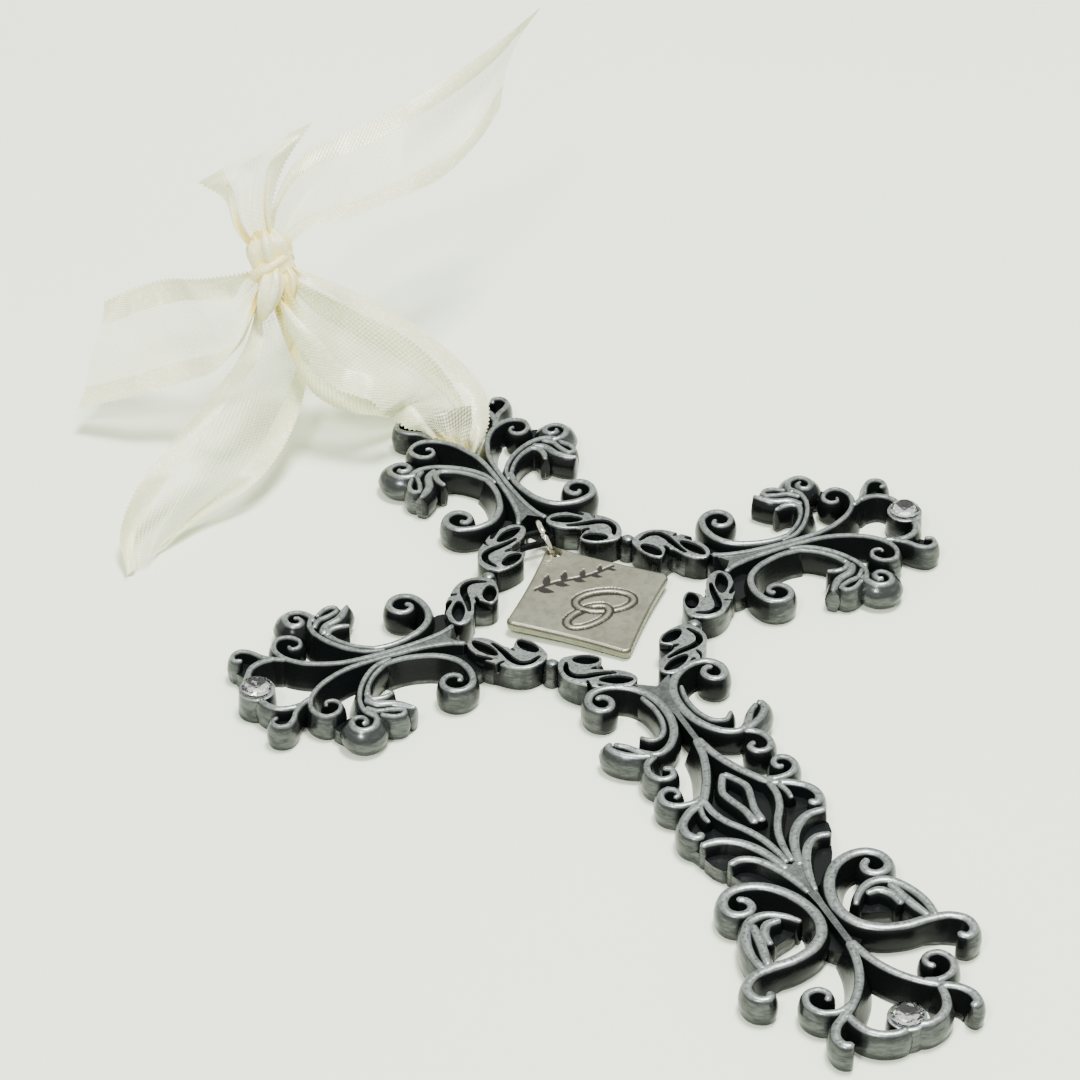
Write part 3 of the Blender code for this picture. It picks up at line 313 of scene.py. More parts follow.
# Further bundles: places right of, before and above the knot's heart, their radii, and how flat they are
KNOT_TURNS = [
    ("knot_fold", [(0.1, 1.5, -0.4), (-0.9, 2.3, -2.2), (-2.0, 2.3, -4.4), (-3.0, 1.6, -6.6)],
    (0.6, 1.15, 1.1, 0.4),
     1.15),
    ("knot_crease", [(1.3, 1.5, -0.6), (1.5, 2.0, -2.2), (1.2, 1.7, -4.0), (0.6, 1.0, -5.8)],
    (0.5, 0.85, 0.75, 0.3),
     1.0),
]
HANGER = [
    ((-17.2, 57.6, 22.2), (-19.0, 56.4, 20.9), 0.0),
    ((-13.8, 56.0, 20.6), (-18.6, 50.0, 15.6), 1.6),
    ((-8.6, 55.3, 17.2), (-15.3, 44.3, 10.3), 1.0),
    ((-2.9, 52.3, 13.4), (-11.8, 41.6, 9.3), 0.8),
    ((1.3, 49.2, 9.9), (-10.1, 40.6, 7.2), 1.4),
    ((3.8, 46.0, 7.3), (-10.0, 42.2, 6.2), 1.5),
    ((4.6, 43.3, 5.9), (-9.2, 43.2, 5.2), 1.4),
    ((4.4, 40.6, 4.8), (-8.1, 42.0, 4.7), 1.0),
    ((3.2, 37.8, 3.8), (-7.1, 40.4, 4.2), 0.6),
    ((1.4, 35.8, 2.8), (-5.2, 39.6, 3.8), 0.2),
    ((0.4, 35.3, 1.6), (-3.1, 39.0, 2.2), 0.0),
    ((0.3, 35.7, 0.7), (-2.5, 38.8, 0.8), 0.0),
    ((1.6, 39.4, 0.45), (-2.6, 40.8, 0.45), 0.0),
    ((3.0, 43.6, 0.5), (-3.0, 43.6, 0.5), 0.0),
    ((3.2, 47.0, 2.4), (-4.6, 45.0, 1.4), 0.0),
    ((0.6, 50.6, 7.2), (-9.4, 44.4, 4.4), 0.0),
    ((-3.6, 53.0, 11.0), (-13.4, 44.2, 6.2), 0.0),
    ((-9.2, 55.4, 15.0), (-17.2, 46.4, 8.6), 0.0),
    ((-14.0, 56.6, 18.6), (-18.9, 51.4, 13.8), 0.0),
    ((-17.2, 57.6, 21.4), (-19.0, 56.4, 20.2), 0.0),
]
RIBBON_TAILS = {
    "tail_right": [
        ((-17.8, 59.4, 23.6), (-18.6, 56.8, 23.2), 0.0),
        ((-13.6, 67.6, 25.2), (-16.4, 57.4, 23.8), -1.5),
        ((-7.5, 73.6, 27.0), (-11.7, 60.6, 23.9), -1.5),
        ((-0.8, 73.5, 29.0), (-6.2, 60.5, 24.2), -1.0),
        ((6.3, 73.6, 31.0), (0.9, 61.0, 25.2), -1.0),
        ((14.0, 74.9, 33.0), (8.5, 65.0, 24.0), -1.2),
        ((22.3, 77.5, 35.0), (15.7, 69.8, 25.0), -1.5),
        ((29.9, 80.5, 37.0), (21.2, 75.0, 26.0), -1.5),
    ],
    "tail_top": [
        ((-19.8, 58.4, 22.8), (-17.4, 58.2, 23.4), 0.0),
        ((-21.2, 62.0, 25.4), (-16.6, 60.6, 28.0), 1.6),
        ((-21.4, 65.4, 28.0), (-13.6, 63.4, 32.4), 2.2),
        ((-24.1, 67.6, 30.0), (-8.8, 65.6, 36.4), 1.5),
    ],
    "tail_left": [
        ((-20.0, 57.6, 21.8), (-19.6, 56.4, 20.2), 0.0),
        ((-23.6, 60.2, 20.4), (-25.0, 50.6, 17.4), 1.5),
        ((-26.5, 63.0, 19.0), (-28.7, 50.0, 13.6), 1.5),
        ((-29.4, 67.6, 17.0), (-31.4, 55.5, 8.9), 1.0),
        ((-33.4, 69.8, 15.2), (-36.8, 57.9, 6.9), 1.0),
        ((-36.7, 70.3, 14.0), (-43.8, 62.7, 3.6), 0.5),
    ],
    "tail_low": [
        ((-19.8, 56.2, 20.6), (-17.4, 57.4, 20.0), 0.0),
        ((-22.6, 52.8, 17.8), (-14.2, 59.0, 14.6), -1.5),
        ((-25.4, 50.0, 15.4), (-13.8, 56.4, 10.6), -1.8),
        ((-30.2, 47.4, 12.4), (-16.6, 50.8, 7.4), -1.2),
        ((-36.1, 44.3, 9.8), (-22.4, 42.6, 5.6), -0.8),
        ((-43.0, 40.4, 6.6), (-28.6, 38.0, 3.8), -0.4),
        ((-47.6, 35.4, 3.4), (-36.0, 36.2, 2.2), 0.4),
        ((-48.6, 30.0, 0.9), (-42.4, 33.8, 1.4), 0.3),
    ],
}
GATHERED_PLEATS = 7          # half waves across the ribbon where it is gathered
OPEN_PLEATS = 3              # and where it lies open


def stretched(drawn, drawn_reach, reach):
    """A drawn distance from the middle, in metres: beyond the middle ring it stretches to the arm's reach."""
    if drawn <= ROOT_SQUARES:
        return drawn * SQUARE
    share = (drawn - ROOT_SQUARES) / (drawn_reach - ROOT_SQUARES)
    return ROOT_SQUARES * SQUARE + share * (reach - ROOT_SQUARES * SQUARE)


def arm_place(point):
    """A drawn point of a side arm or of the middle ring, in metres."""
    return Vector((stretched(point[0], ARM_SQUARES, ARM_REACH), point[1] * SQUARE))


def stem_place(point):
    """A drawn point of the long arm, in metres."""
    return Vector((point[0] * SQUARE, -stretched(point[1], FOOT_SQUARES, FOOT_REACH)))


def catmull(before, start, end, after, steps):
    """Points along one span of a centripetal Catmull-Rom curve, without its end."""
    t1 = (start - before).length ** 0.5
    t2 = t1 + (end - start).length ** 0.5
    t3 = t2 + (after - end).length ** 0.5
    span = []
    for step in range(steps):
        t = t1 + (t2 - t1) * step / steps
        a1 = before * ((t1 - t) / t1) + start * (t / t1)
        a2 = start * ((t2 - t) / (t2 - t1)) + end * ((t - t1) / (t2 - t1))
        a3 = end * ((t3 - t) / (t3 - t2)) + after * ((t - t2) / (t3 - t2))
        b1 = a1 * ((t2 - t) / t2) + a2 * (t / t2)
        b2 = a2 * ((t3 - t) / (t3 - t1)) + a3 * ((t - t1) / (t3 - t1))
        span.append(b1 * ((t2 - t) / (t2 - t1)) + b2 * ((t - t1) / (t2 - t1)))
    return span


def smooth_path(points, steps=10):
    """Points along an open smooth curve through the given ones."""
    knots = [2 * points[0] - points[1], *points, 2 * points[-1] - points[-2]]
    path = []
    for group in zip(knots, knots[1:], knots[2:], knots[3:]):
        path += catmull(*group, steps)
    return path + [points[-1]]


def smooth_ring(points, steps=5):
    """Points along a closed smooth curve through the given ones."""
    path = []
    for index in range(len(points)):
        group = [points[(index + shift) % len(points)] for shift in (-1, 0, 1, 2)]
        path += catmull(*group, steps)
    return path


def even_path(path, marks):
    """Points at the given distances along a path, with the way it heads there."""
    run = 0.0
    marks = list(marks)
    found = []
    for start, end in zip(path, path[1:]):
        length = (end - start).length
        while marks and (marks[0] <= run + length or (end is path[-1] and marks[0] <= run + length + MERGE)):
            found.append(start.lerp(end, min((marks[0] - run) / length, 1.0)))
            marks.pop(0)
        run += length
    while marks:
        found.append(path[-1])
        marks.pop(0)
    headings = []
    for index in range(len(found)):
        ahead = found[min(index + 1, len(found) - 1)] - found[max(index - 1, 0)]
        headings.append(ahead.normalized())
    return found, headings


def path_length(path):
    """Length of a path."""
    return sum((end - start).length for start, end in zip(path, path[1:]))


def new_object(name, mesh, target):
    """A mesh as an object in a collection."""
    made = bpy.data.objects.new(name, mesh)
    target.objects.link(made)
    return made


def from_bmesh(name, work, target):
    """A finished bmesh as an object in a collection."""
    mesh = bpy.data.meshes.new(name)
    work.to_mesh(mesh)
    work.free()
    return new_object(name, mesh, target)


def bowl_amount(bowl, side, share):
    """How much a side of a rib leans in like a bowl's wall at a share of its length, from 0 to 1."""
    amount = start = 0.0
    for end, sides in bowl:
        if side in sides:
            rise = (share - start) / BOWL_TURN + 0.5 if start > 0 else 1.0
            fall = (end - share) / BOWL_TURN + 0.5 if end < 1 else 1.0
            amount = max(amount, min(rise, fall, 1.0))
        start = end
    return amount


def sweep(name, points, widths, target, section=RIB_SECTION, top=None, base=0.0, depth=None, bowl=(),
          bulging=1.0):
    """A rib or a groove's cutter along a smooth path, with rounded ends and a width that swells midway.

    A section's last number is a drop below the top in metres, or for a groove a share of its depth. bowl is a
    row of BOWL_SIDES.
    """
    top = CAST_TOP if top is None else top
    start, middle, end = (width * SQUARE / 2 for width in widths)
    path = smooth_path(points)
    length = path_length(path)
    noses = [share * start for share in NOSE_STEPS] + [start]
    tails = [length - share * end for share in (1.0, *reversed(NOSE_STEPS))]
    count = max(2, round((tails[0] - noses[-1]) / RIB_STEP))
    marks = noses + [noses[-1] + (tails[0] - noses[-1]) * step / count for step in range(1, count)] + tails
    places, headings = even_path(path, marks)
    work = bmesh.new()
    rings = []
    for mark, place, heading in zip(marks, places, headings):
        share = mark / length
        swell = math.sin(math.pi * min(max(share, 0.0), 1.0)) ** RIB_SWELL
        reach = (start * (1 - share) + end * share) * (1 - swell) + middle * swell
        near = min(mark / start, (length - mark) / end, 1.0)
        nose = math.sqrt(max(1 - (1 - near) ** 2, 0.03))
        across = Vector((-heading.y, heading.x))
        ring = []
        for side, order in ((1, section), (-1, section[-2::-1])):
            amount = bowl_amount(bowl, "L" if side > 0 else "R", share)
            for out, spread, bulge, drop in order:
                lean = BOWL_DRAFT * spread * amount + WALL_BULGE * bulging * bulge * (1 - amount)
                if depth is None:
                    height = base if drop is None else max(top - drop - (1 - nose) * 0.3 * MM, base)
                else:
                    height = top - drop * depth * nose if drop > 0.05 else top - drop
                spot = place + across * side * (reach * out + lean) * nose
                ring.append(work.verts.new((spot.x, spot.y, height)))
        rings.append(ring)
    for ring, after in zip(rings, rings[1:]):
        for index in range(len(ring)):
            follow = (index + 1) % len(ring)
            work.faces.new((ring[index], ring[follow], after[follow], after[index]))
    for ring in (rings[0], rings[-1]):
        heart = work.verts.new(sum((v.co for v in ring), Vector()) / len(ring))
        for index in range(len(ring)):
            work.faces.new((ring[index], ring[(index + 1) % len(ring)], heart))
    bmesh.ops.recalc_face_normals(work, faces=work.faces)
    return from_bmesh(name, work, target)


def as_mesh(source, target, weld=True):
    """The evaluated shape of an object as a mesh object in the target collection."""
    bpy.context.view_layer.update()
    seen = source.evaluated_get(bpy.context.evaluated_depsgraph_get())
    mesh = bpy.data.meshes.new_from_object(seen)
    mesh.transform(source.matrix_world)
    work = bmesh.new()
    work.from_mesh(mesh)
    if weld:
        bmesh.ops.remove_doubles(work, verts=work.verts, dist=MERGE)
    bmesh.ops.recalc_face_normals(work, faces=work.faces)
    work.to_mesh(mesh)
    work.free()
    name = source.name
    bpy.data.objects.remove(source, do_unlink=True)
    return new_object(name, mesh, target)


def slab(name, outline, base, top, target, edge=0.0):
    """A flat outline as a solid between two heights, with edges rounded by a given radius."""
    curve = bpy.data.curves.new(name, "CURVE")
    curve.dimensions = "2D"
    curve.fill_mode = "BOTH"
    curve.extrude = (top - base) / 2 - edge
    curve.bevel_depth = edge
    curve.bevel_resolution = 1
    curve.offset = -edge
    spline = curve.splines.new("POLY")
    spline.points.add(len(outline) - 1)
    for knot, place in zip(spline.points, outline):
        knot.co = (place[0], place[1], 0.0, 1.0)
    spline.use_cyclic_u = True
    flat = bpy.data.objects.new(name, curve)
    flat.location.z = (base + top) / 2
    target.objects.link(flat)
    return as_mesh(flat, target)


def combine(base, others, operation, target):
    """Union the others with the base, or cut them from it, and return the result."""
    group = bpy.data.collections.new("group")
    bpy.context.scene.collection.children.link(group)
    for other in others:
        for home in other.users_collection:
            home.objects.unlink(other)
        group.objects.link(other)
    boolean = base.modifiers.new("combine", "BOOLEAN")
    boolean.operand_type = "COLLECTION"
    boolean.collection = group
    boolean.operation = operation
    boolean.solver = "MANIFOLD"
    made = as_mesh(base, target, weld=False)
    for other in others:
        bpy.data.objects.remove(other, do_unlink=True)
    bpy.data.collections.remove(group)
    return made


def placed_copy(obj, matrix, target):
    """A copy of a mesh object, moved, turned or mirrored by a matrix."""
    mesh = obj.data.copy()
    mesh.transform(matrix)
    if matrix.determinant() < 0:
        mesh.flip_normals()
    return new_object(obj.name, mesh, target)


def bridge(work, rings, closed=False):
    """Join rings of vertices into a tube: end to end, or with flat ends."""
    pairs = list(zip(rings, rings[1:])) + ([(rings[-1], rings[0])] if closed else [])
    for ring, after in pairs:
        for index in range(len(ring)):
            follow = (index + 1) % len(ring)
            work.faces.new((ring[index], ring[follow], after[follow], after[index]))
    if not closed:
        work.faces.new(rings[0])
        work.faces.new(rings[-1])
    bmesh.ops.recalc_face_normals(work, faces=work.faces)


def ways_across(places, index, across, closed=False):
    """Two ways across a line through places at one of them, the first as near as can be to the given way."""
    count = len(places)
    ahead = places[(index + 1) % count if closed else min(index + 1, count - 1)]
    behind = places[(index - 1) % count if closed else max(index - 1, 0)]
    heading = (ahead - behind).normalized()
    side = (across - heading * across.dot(heading)).normalized()
    return side, heading.cross(side)


def dome(name, place, radius, base, top, target, sides=16, crown=0.0):
    """An upright post with a rounded top: its last stretch of height is a dome of the crown's height."""
    work = bmesh.new()
    rings = [(radius + WALL_DRAFT, base), (radius, top - crown)]
    if crown:
        rings += [(radius * math.cos(a), top - crown + crown * math.sin(a)) for a in DOME_ANGLES]
    loops = []
    for reach, height in rings:
        loops.append([
            work.verts.new((place.x + reach * math.cos(math.tau * step / sides),
                            place.y + reach * math.sin(math.tau * step / sides), height))
            for step in range(sides)
        ])
    bridge(work, loops)
    return from_bmesh(name, work, target)


def ribs_and_floors(ribs, floors, bowls, place, shop, widen):
    """The union of drawn ribs and the sunk floors between them."""
    pieces = [
        sweep(name, [place(p) for p in points], [width * widen for width in widths], shop,
              bowl=bowls.get(name, ()), bulging=KNOBS.get(name, 1.0))
        for name, (points, widths) in ribs.items()
    ]
    for name, outline in floors.items():
        pieces.append(slab(name, smooth_ring([place(p) for p in outline], 3), 0.0, FLOOR_DEPTH, shop))
    return combine(pieces[0], pieces[1:], "UNION", shop)


def build_link(shop):
    """One link of the middle ring: a rounded plate with hollows and notches cut into its top."""
    plate = slab("link", smooth_ring([arm_place(p) for p in LINK_PLATE]), 0.0, CAST_TOP, shop, edge=0.1 * MM)
    grooves = [
        sweep("hollow", [arm_place(p) for p in points], widths, shop, GROOVE_SECTION, depth=LINK_HOLLOW_DEPTH)
        for points, widths in LINK_HOLLOWS + LINK_NOTCHES
    ]
    plate = combine(plate, grooves, "DIFFERENCE", shop)
    step = slab("step", smooth_ring([arm_place(p) for p in LINK_STEP]), 0.0, LINK_BASE_TOP, shop)
    return combine(plate, [step], "UNION", shop)


def stone_places():
    """Where the three stones sit, in metres from the middle of the cross."""
    return {
        "crystal_left": Vector((-ARM_REACH, 0.0)),
        "crystal_right": Vector((ARM_REACH, 0.0)),
        "crystal_foot": Vector((0.0, -FOOT_REACH)),
    }


def build_casting(shop, parts):
    """The whole casting, as the CAD has it but with rounded ribs and cut links."""
    half_arm = ribs_and_floors(ARM_RIBS, ARM_FLOORS, BOWL_SIDES["arm"], arm_place, shop, ARM_WIDEN)
    half_stem = ribs_and_floors(STEM_RIBS, STEM_FLOORS, BOWL_SIDES["stem"], stem_place, shop, STEM_WIDEN)
    link = build_link(shop)
    web = slab("web", [arm_place(p) for p in ARM_WEB], 0.0, CAST_TOP - WEB_DROP, shop)
    rings = {
        lift: sweep("tip", [arm_place(p) for p in TIP_RING[0]], TIP_RING[1], shop, base=lift,
                    bowl=() if lift else BOWL_SIDES["arm"]["tip"])
        for lift in (0.0, BAIL_LIFT)
    }
    pieces = []
    for quarter in range(4):
        turn = Matrix.Rotation(math.radians(90 * quarter), 4, "Z")
        for side in (Matrix.Identity(4), Matrix.Diagonal((1, -1, 1, 1))):
            pieces.append(placed_copy(link, turn @ side, shop))
            if quarter < 3:
                pieces.append(placed_copy(half_arm, turn @ side, shop))
                pieces.append(placed_copy(rings[BAIL_LIFT if quarter == 1 else 0.0], turn @ side, shop))
        if quarter < 3:
            pieces.append(placed_copy(web, turn, shop))
        corner = Matrix.Rotation(math.radians(90 * quarter), 2) @ arm_place(BEAD_PLACE)
        pieces.append(dome("bead", corner, BEAD_RADIUS * SQUARE, 0.0, BEAD_TOP, shop, 16, BEAD_CROWN))
    for side in (Matrix.Identity(4), Matrix.Diagonal((-1, 1, 1, 1))):
        pieces.append(placed_copy(half_stem, side, shop))
    for outline in STEM_WEBS:
        pieces.append(slab("stem_web", [stem_place(p) for p in outline], 0.0, CAST_TOP - WEB_DROP, shop))
    for place in stone_places().values():
        pieces.append(dome("seat", place, STONE_RADIUS + SEAT_WALL, 0.0, CAST_TOP, shop, 32, 0.12 * MM))
    pieces.append(build_eyelet(shop))
    for used in (half_arm, half_stem, link, web, *rings.values()):
        bpy.data.objects.remove(used, do_unlink=True)
    casting = combine(pieces[0], pieces[1:], "UNION", shop)
    bores = [
        dome("bore", place, STONE_RADIUS - SEAT_WALL, CAST_TOP - SEAT_BORE_DEPTH, CAST_TOP + MM, shop, 32)
        for place in stone_places().values()
    ]
    casting = combine(casting, bores, "DIFFERENCE", parts)
    casting.data.transform(Matrix.Translation(MIDDLE))
    casting.name = "casting"
    return casting


def build_eyelet(shop):
    """The small loop on the upper left link, which the link ring goes through."""
    places = [Vector((x * MM, (EYELET_PLACE + y) * SQUARE)) for x, y in EYELET_LOOP]
    return sweep("eyelet", places, (EYELET_BAR / SQUARE,) * 3, shop, top=EYELET_TOP,
                 base=EYELET_TOP - EYELET_BAR, bulging=EYELET_BULGING)


def ring_direction(angle):
    """The direction from the link ring's middle to its wire at an angle round it."""
    to_tag = (Vector((0.0, -1.0, 0.0)) + LINK_RING_AXIS * LINK_RING_AXIS.y).normalized()
    under = LINK_RING_AXIS.cross(to_tag)
    return to_tag * math.cos(angle) + under * math.sin(angle)


def link_ring_middle():
    """The link ring's middle: its wire just clears the bar at one place and the table at another."""
    free = LINK_RING_RADIUS - LINK_RING_WIRE / 2 - LINK_RING_PLAY - EYELET_BAR / math.sqrt(2)
    drop = LINK_RING_RADIUS * math.sqrt(1 - LINK_RING_AXIS.z ** 2)
    height = REST_GAP + LINK_RING_WIRE / 2 + drop
    return Vector((LINK_RING_ASIDE, EYELET_PLACE * SQUARE - (ring_direction(BAR_ANGLE) * free).y, height))


def tube(name, places, radii, across, target, sides):
    """A round tube through places."""
    work = bmesh.new()
    turns = [math.tau * step / sides for step in range(sides)]
    rings = []
    for index, (place, radius) in enumerate(zip(places, radii)):
        side, up = ways_across(places, index, across)
        rings.append([
            work.verts.new(place + (side * math.cos(turn) + up * math.sin(turn)) * radius)
            for turn in turns
        ])
    bridge(work, rings)
    return from_bmesh(name, work, target)


def build_link_ring(parts):
    """The wire ring between bar and tag, bent round until its rounded ends nearly meet."""
    middle = MIDDLE + link_ring_middle()
    first = RING_SPLIT_ANGLE + RING_SPLIT / 2
    run = math.tau - RING_SPLIT
    angles = [first + run * step / RING_STEPS for step in range(RING_STEPS + 1)]
    nose = LINK_RING_WIRE / 2 / LINK_RING_RADIUS
    ends = [nose * share for share in (0.15, 0.4, 0.7)]
    marks = [first] + [first + extra for extra in ends] + angles[3:-3]
    marks += [first + run - extra for extra in reversed(ends)] + [first + run]
    wire = LINK_RING_WIRE / 2
    radii = [wire * share for share in (0.45, 0.72, 0.9, 0.99)]
    radii += [wire] * (len(marks) - 8) + radii[::-1]
    places = [middle + ring_direction(angle) * LINK_RING_RADIUS for angle in marks]
    made = tube("link_ring", places, radii, LINK_RING_AXIS, parts, sides=20)
    shade_smooth(made, 50)
    return made


def tag_marks(x, y):
    """The relief at a place on the tag's face, in metres, and how dark its patina is, from 0 to 1."""
    drop = dark = 0.0
    # A sprig of leaves across the upper part
    stem_share = (x - SPRIG_LEFT) / SPRIG_LENGTH
    if 0.0 <= stem_share <= 1.0:
        near = 1 - abs(y - sprig_line(stem_share)) / (0.22 * MM)
        if near > 0:
            drop, dark = -0.1 * MM, 1.0
    for root, heading, length in SPRIG_LEAVES:
        along = (Vector((x, y)) - root).dot(heading)
        if 0 < along < length:
            off = abs((Vector((x, y)) - root).cross(heading))
            if off < length * 0.22 * math.sin(math.pi * (along / length) ** 0.8):
                drop, dark = -0.12 * MM, 1.0
    # Two linked wedding bands, drawn as ovals
    spans = []
    for centre, long_reach, short_reach, angle in TAG_OVALS:
        off = Matrix.Rotation(-angle, 2) @ (Vector((x, y)) - centre)
        share = math.hypot(off.x / long_reach, off.y / short_reach)
        slope = math.hypot(off.x / long_reach ** 2, off.y / short_reach ** 2) / max(share, 1e-6)
        spans.append(((share - 1) / max(slope, 1e-6), off))
    order = (0, 1) if (Vector((x, y)) - TAG_CROSSING).dot(TAG_CROSSING_WAY) < 0 else (1, 0)
    for index in order:
        out, off = spans[index]
        inner_wall = max(off.y, 0.0) / TAG_OVALS[index][2]
        if abs(out) < OVAL_BAND / 2:
            swell = math.sqrt(1 - (2 * out / OVAL_BAND) ** 2)
            drop, dark = 0.13 * MM * swell, 0.0
        elif OVAL_BAND / 2 <= out < OVAL_BAND / 2 + OVAL_LINE:
            drop, dark = -0.1 * MM, 1.0
        elif -OVAL_BAND / 2 - OVAL_LINE - 0.42 * MM * inner_wall < out <= -OVAL_BAND / 2:
            drop, dark = -0.1 * MM, 1.0
        elif out > OVAL_BAND / 2 or out < 0:
            continue
    return drop, dark


def build_tag(shop, parts):
    """The pewter tag: rounded edges, a drilled corner, and engraved marks that hold dark patina."""
    half = TAG_REACH / math.sqrt(2)
    hollow = TAG_REACH * TAG_WAIST * math.sqrt(2)
    steps = TAG_GRID
    work = bmesh.new()
    grid = []
    for row in range(steps + 1):
        line = []
        for column in range(steps + 1):
            u, v = 2 * column / steps - 1, 2 * row / steps - 1
            waist_a = hollow * math.cos(math.pi * v / 2)
            waist_b = hollow * math.cos(math.pi * u / 2)
            a = u * (half - waist_a)
            b = v * (half - waist_b)
            corner = Vector((abs(a) - half + TAG_ROUNDING, abs(b) - half + TAG_ROUNDING))
            edge = half - max(abs(a) + waist_a, abs(b) + waist_b)
            if corner.x > 0 and corner.y > 0:
                if corner.length > TAG_ROUNDING:
                    corner = corner.normalized() * TAG_ROUNDING
                edge = TAG_ROUNDING - corner.length
                a = math.copysign(half - TAG_ROUNDING + corner.x, a)
                b = math.copysign(half - TAG_ROUNDING + corner.y, b)
            x, y = (a - b) / math.sqrt(2), (a + b) / math.sqrt(2)
            near = max(1 - edge / TAG_EDGE_ROUND, 0.0)
            lip = TAG_EDGE_ROUND * (1 - math.sqrt(max(1 - near ** 2, 0.0)))
            relief = tag_marks(x, y)[0] if edge > TAG_EDGE_ROUND else 0.0
            wave = 0.03 * MM * math.sin(x / (2.1 * MM)) * math.cos(y / (2.7 * MM))
            line.append(work.verts.new((x, y, TAG_THICKNESS / 2 - lip + relief + wave)))
        grid.append(line)
    for row, after in zip(grid, grid[1:]):
        for index in range(steps):
            work.faces.new((row[index], row[index + 1], after[index + 1], after[index]))
    rim = grid[0][:-1] + [line[-1] for line in grid[:-1]]
    rim += grid[-1][:0:-1] + [line[0] for line in grid[:0:-1]]
    for height, inset in TAG_SIDE:
        ring = [work.verts.new((v.co.x * (1 - inset), v.co.y * (1 - inset), height)) for v in rim]
        for index in range(len(rim)):
            follow = (index + 1) % len(rim)
            work.faces.new((rim[index], ring[index], ring[follow], rim[follow]))
        rim = ring
    work.faces.new(rim)
    bmesh.ops.recalc_face_normals(work, faces=work.faces)
    plate = from_bmesh("tag", work, shop)
    hole_up = TAG_REACH - TAG_HOLE / 2 - TAG_HOLE_WALL
    hole = dome("hole", Vector((0.0, hole_up)), TAG_HOLE / 2 - WALL_DRAFT, -TAG_THICKNESS, TAG_THICKNESS,
                shop, 40)
    plate = combine(plate, [hole], "DIFFERENCE", parts)
    layer = plate.data.attributes.new("patina", "FLOAT", "POINT")
    layer.data.foreach_set("value", [
        tag_marks(v.co.x, v.co.y)[1] if v.co.z > TAG_FACE else 0.0
        for v in plate.data.vertices
    ])
    hung = MIDDLE + link_ring_middle() + ring_direction(TAG_ANGLE) * LINK_RING_RADIUS
    tilt = math.asin((hung.z - TAG_THICKNESS / 2 - REST_GAP) / (hole_up + TAG_REACH))
    turned = Matrix.Rotation(TAG_TURN, 4, "Z") @ Matrix.Rotation(tilt, 4, "X")
    plate.data.transform(Matrix.Translation(hung) @ turned @ Matrix.Translation((0.0, -hole_up, 0.0)))
    plate.name = "tag_plate"
    shade_smooth(plate, 42)
    return plate


def build_stone(name, place, parts):
    """A round brilliant: flat table, two rows of crown facets, thin girdle and a foiled pavilion."""
    girdle = right_low.z + STONE_PAVILION
    table = right_high.z
    work = bmesh.new()
    rings = [
        (8, 0.0, STONE_RADIUS * 0.55, table),
        (8, 0.5, STONE_RADIUS * 0.8, girdle + STONE_BAND + (table - girdle - STONE_BAND) * 0.52),
        (16, 0.0, STONE_RADIUS, girdle + STONE_BAND),
        (16, 0.0, STONE_RADIUS, girdle),
        (8, 0.5, STONE_RADIUS * 0.6, girdle - STONE_PAVILION * 0.3),
        (1, 0.0, 0.0, girdle - STONE_PAVILION * 0.5),
    ]
    for count, shift, radius, height in rings:
        for step in range(count):
            angle = math.tau * (step + shift) / count
            work.verts.new((place.x + radius * math.cos(angle), place.y + radius * math.sin(angle), height))
    bmesh.ops.convex_hull(work, input=work.verts)
    bmesh.ops.dissolve_limit(work, angle_limit=math.radians(1.0), verts=work.verts, edges=work.edges)
    bmesh.ops.recalc_face_normals(work, faces=work.faces)
    for face in work.faces:
        face.material_index = 1 if face.normal.z < -0.1 else 0
    made = from_bmesh(name, work, parts)
    made.data.transform(Matrix.Translation(MIDDLE))
    return made


def ribbon_place(point):
    """A drawn point of the ribbon, in metres: the drawing moves with the upper arm's end."""
    return MIDDLE + Vector(point) * MM + Vector((0.0, ARM_REACH - ARM_SQUARES * MM, 0.0))


def pleat_height(chord, bow, count):
    """How high a row's pleats stand, so that the row measures the ribbon's width along its surface."""
    low, high = 0.0, 3.0 * MM
    for _ in range(16):
        trial = (low + high) / 2
        steps = 48
        run = 0.0
        before = 0.0
        for step in range(1, steps + 1):
            share = step / steps
            here = bow * math.sin(math.pi * share) + trial * math.sin(math.pi * count * share)
            run += math.hypot(chord / steps, here - before)
            before = here
        if run > RIBBON_WIDTH:
            high = trial
        else:
            low = trial
    return low


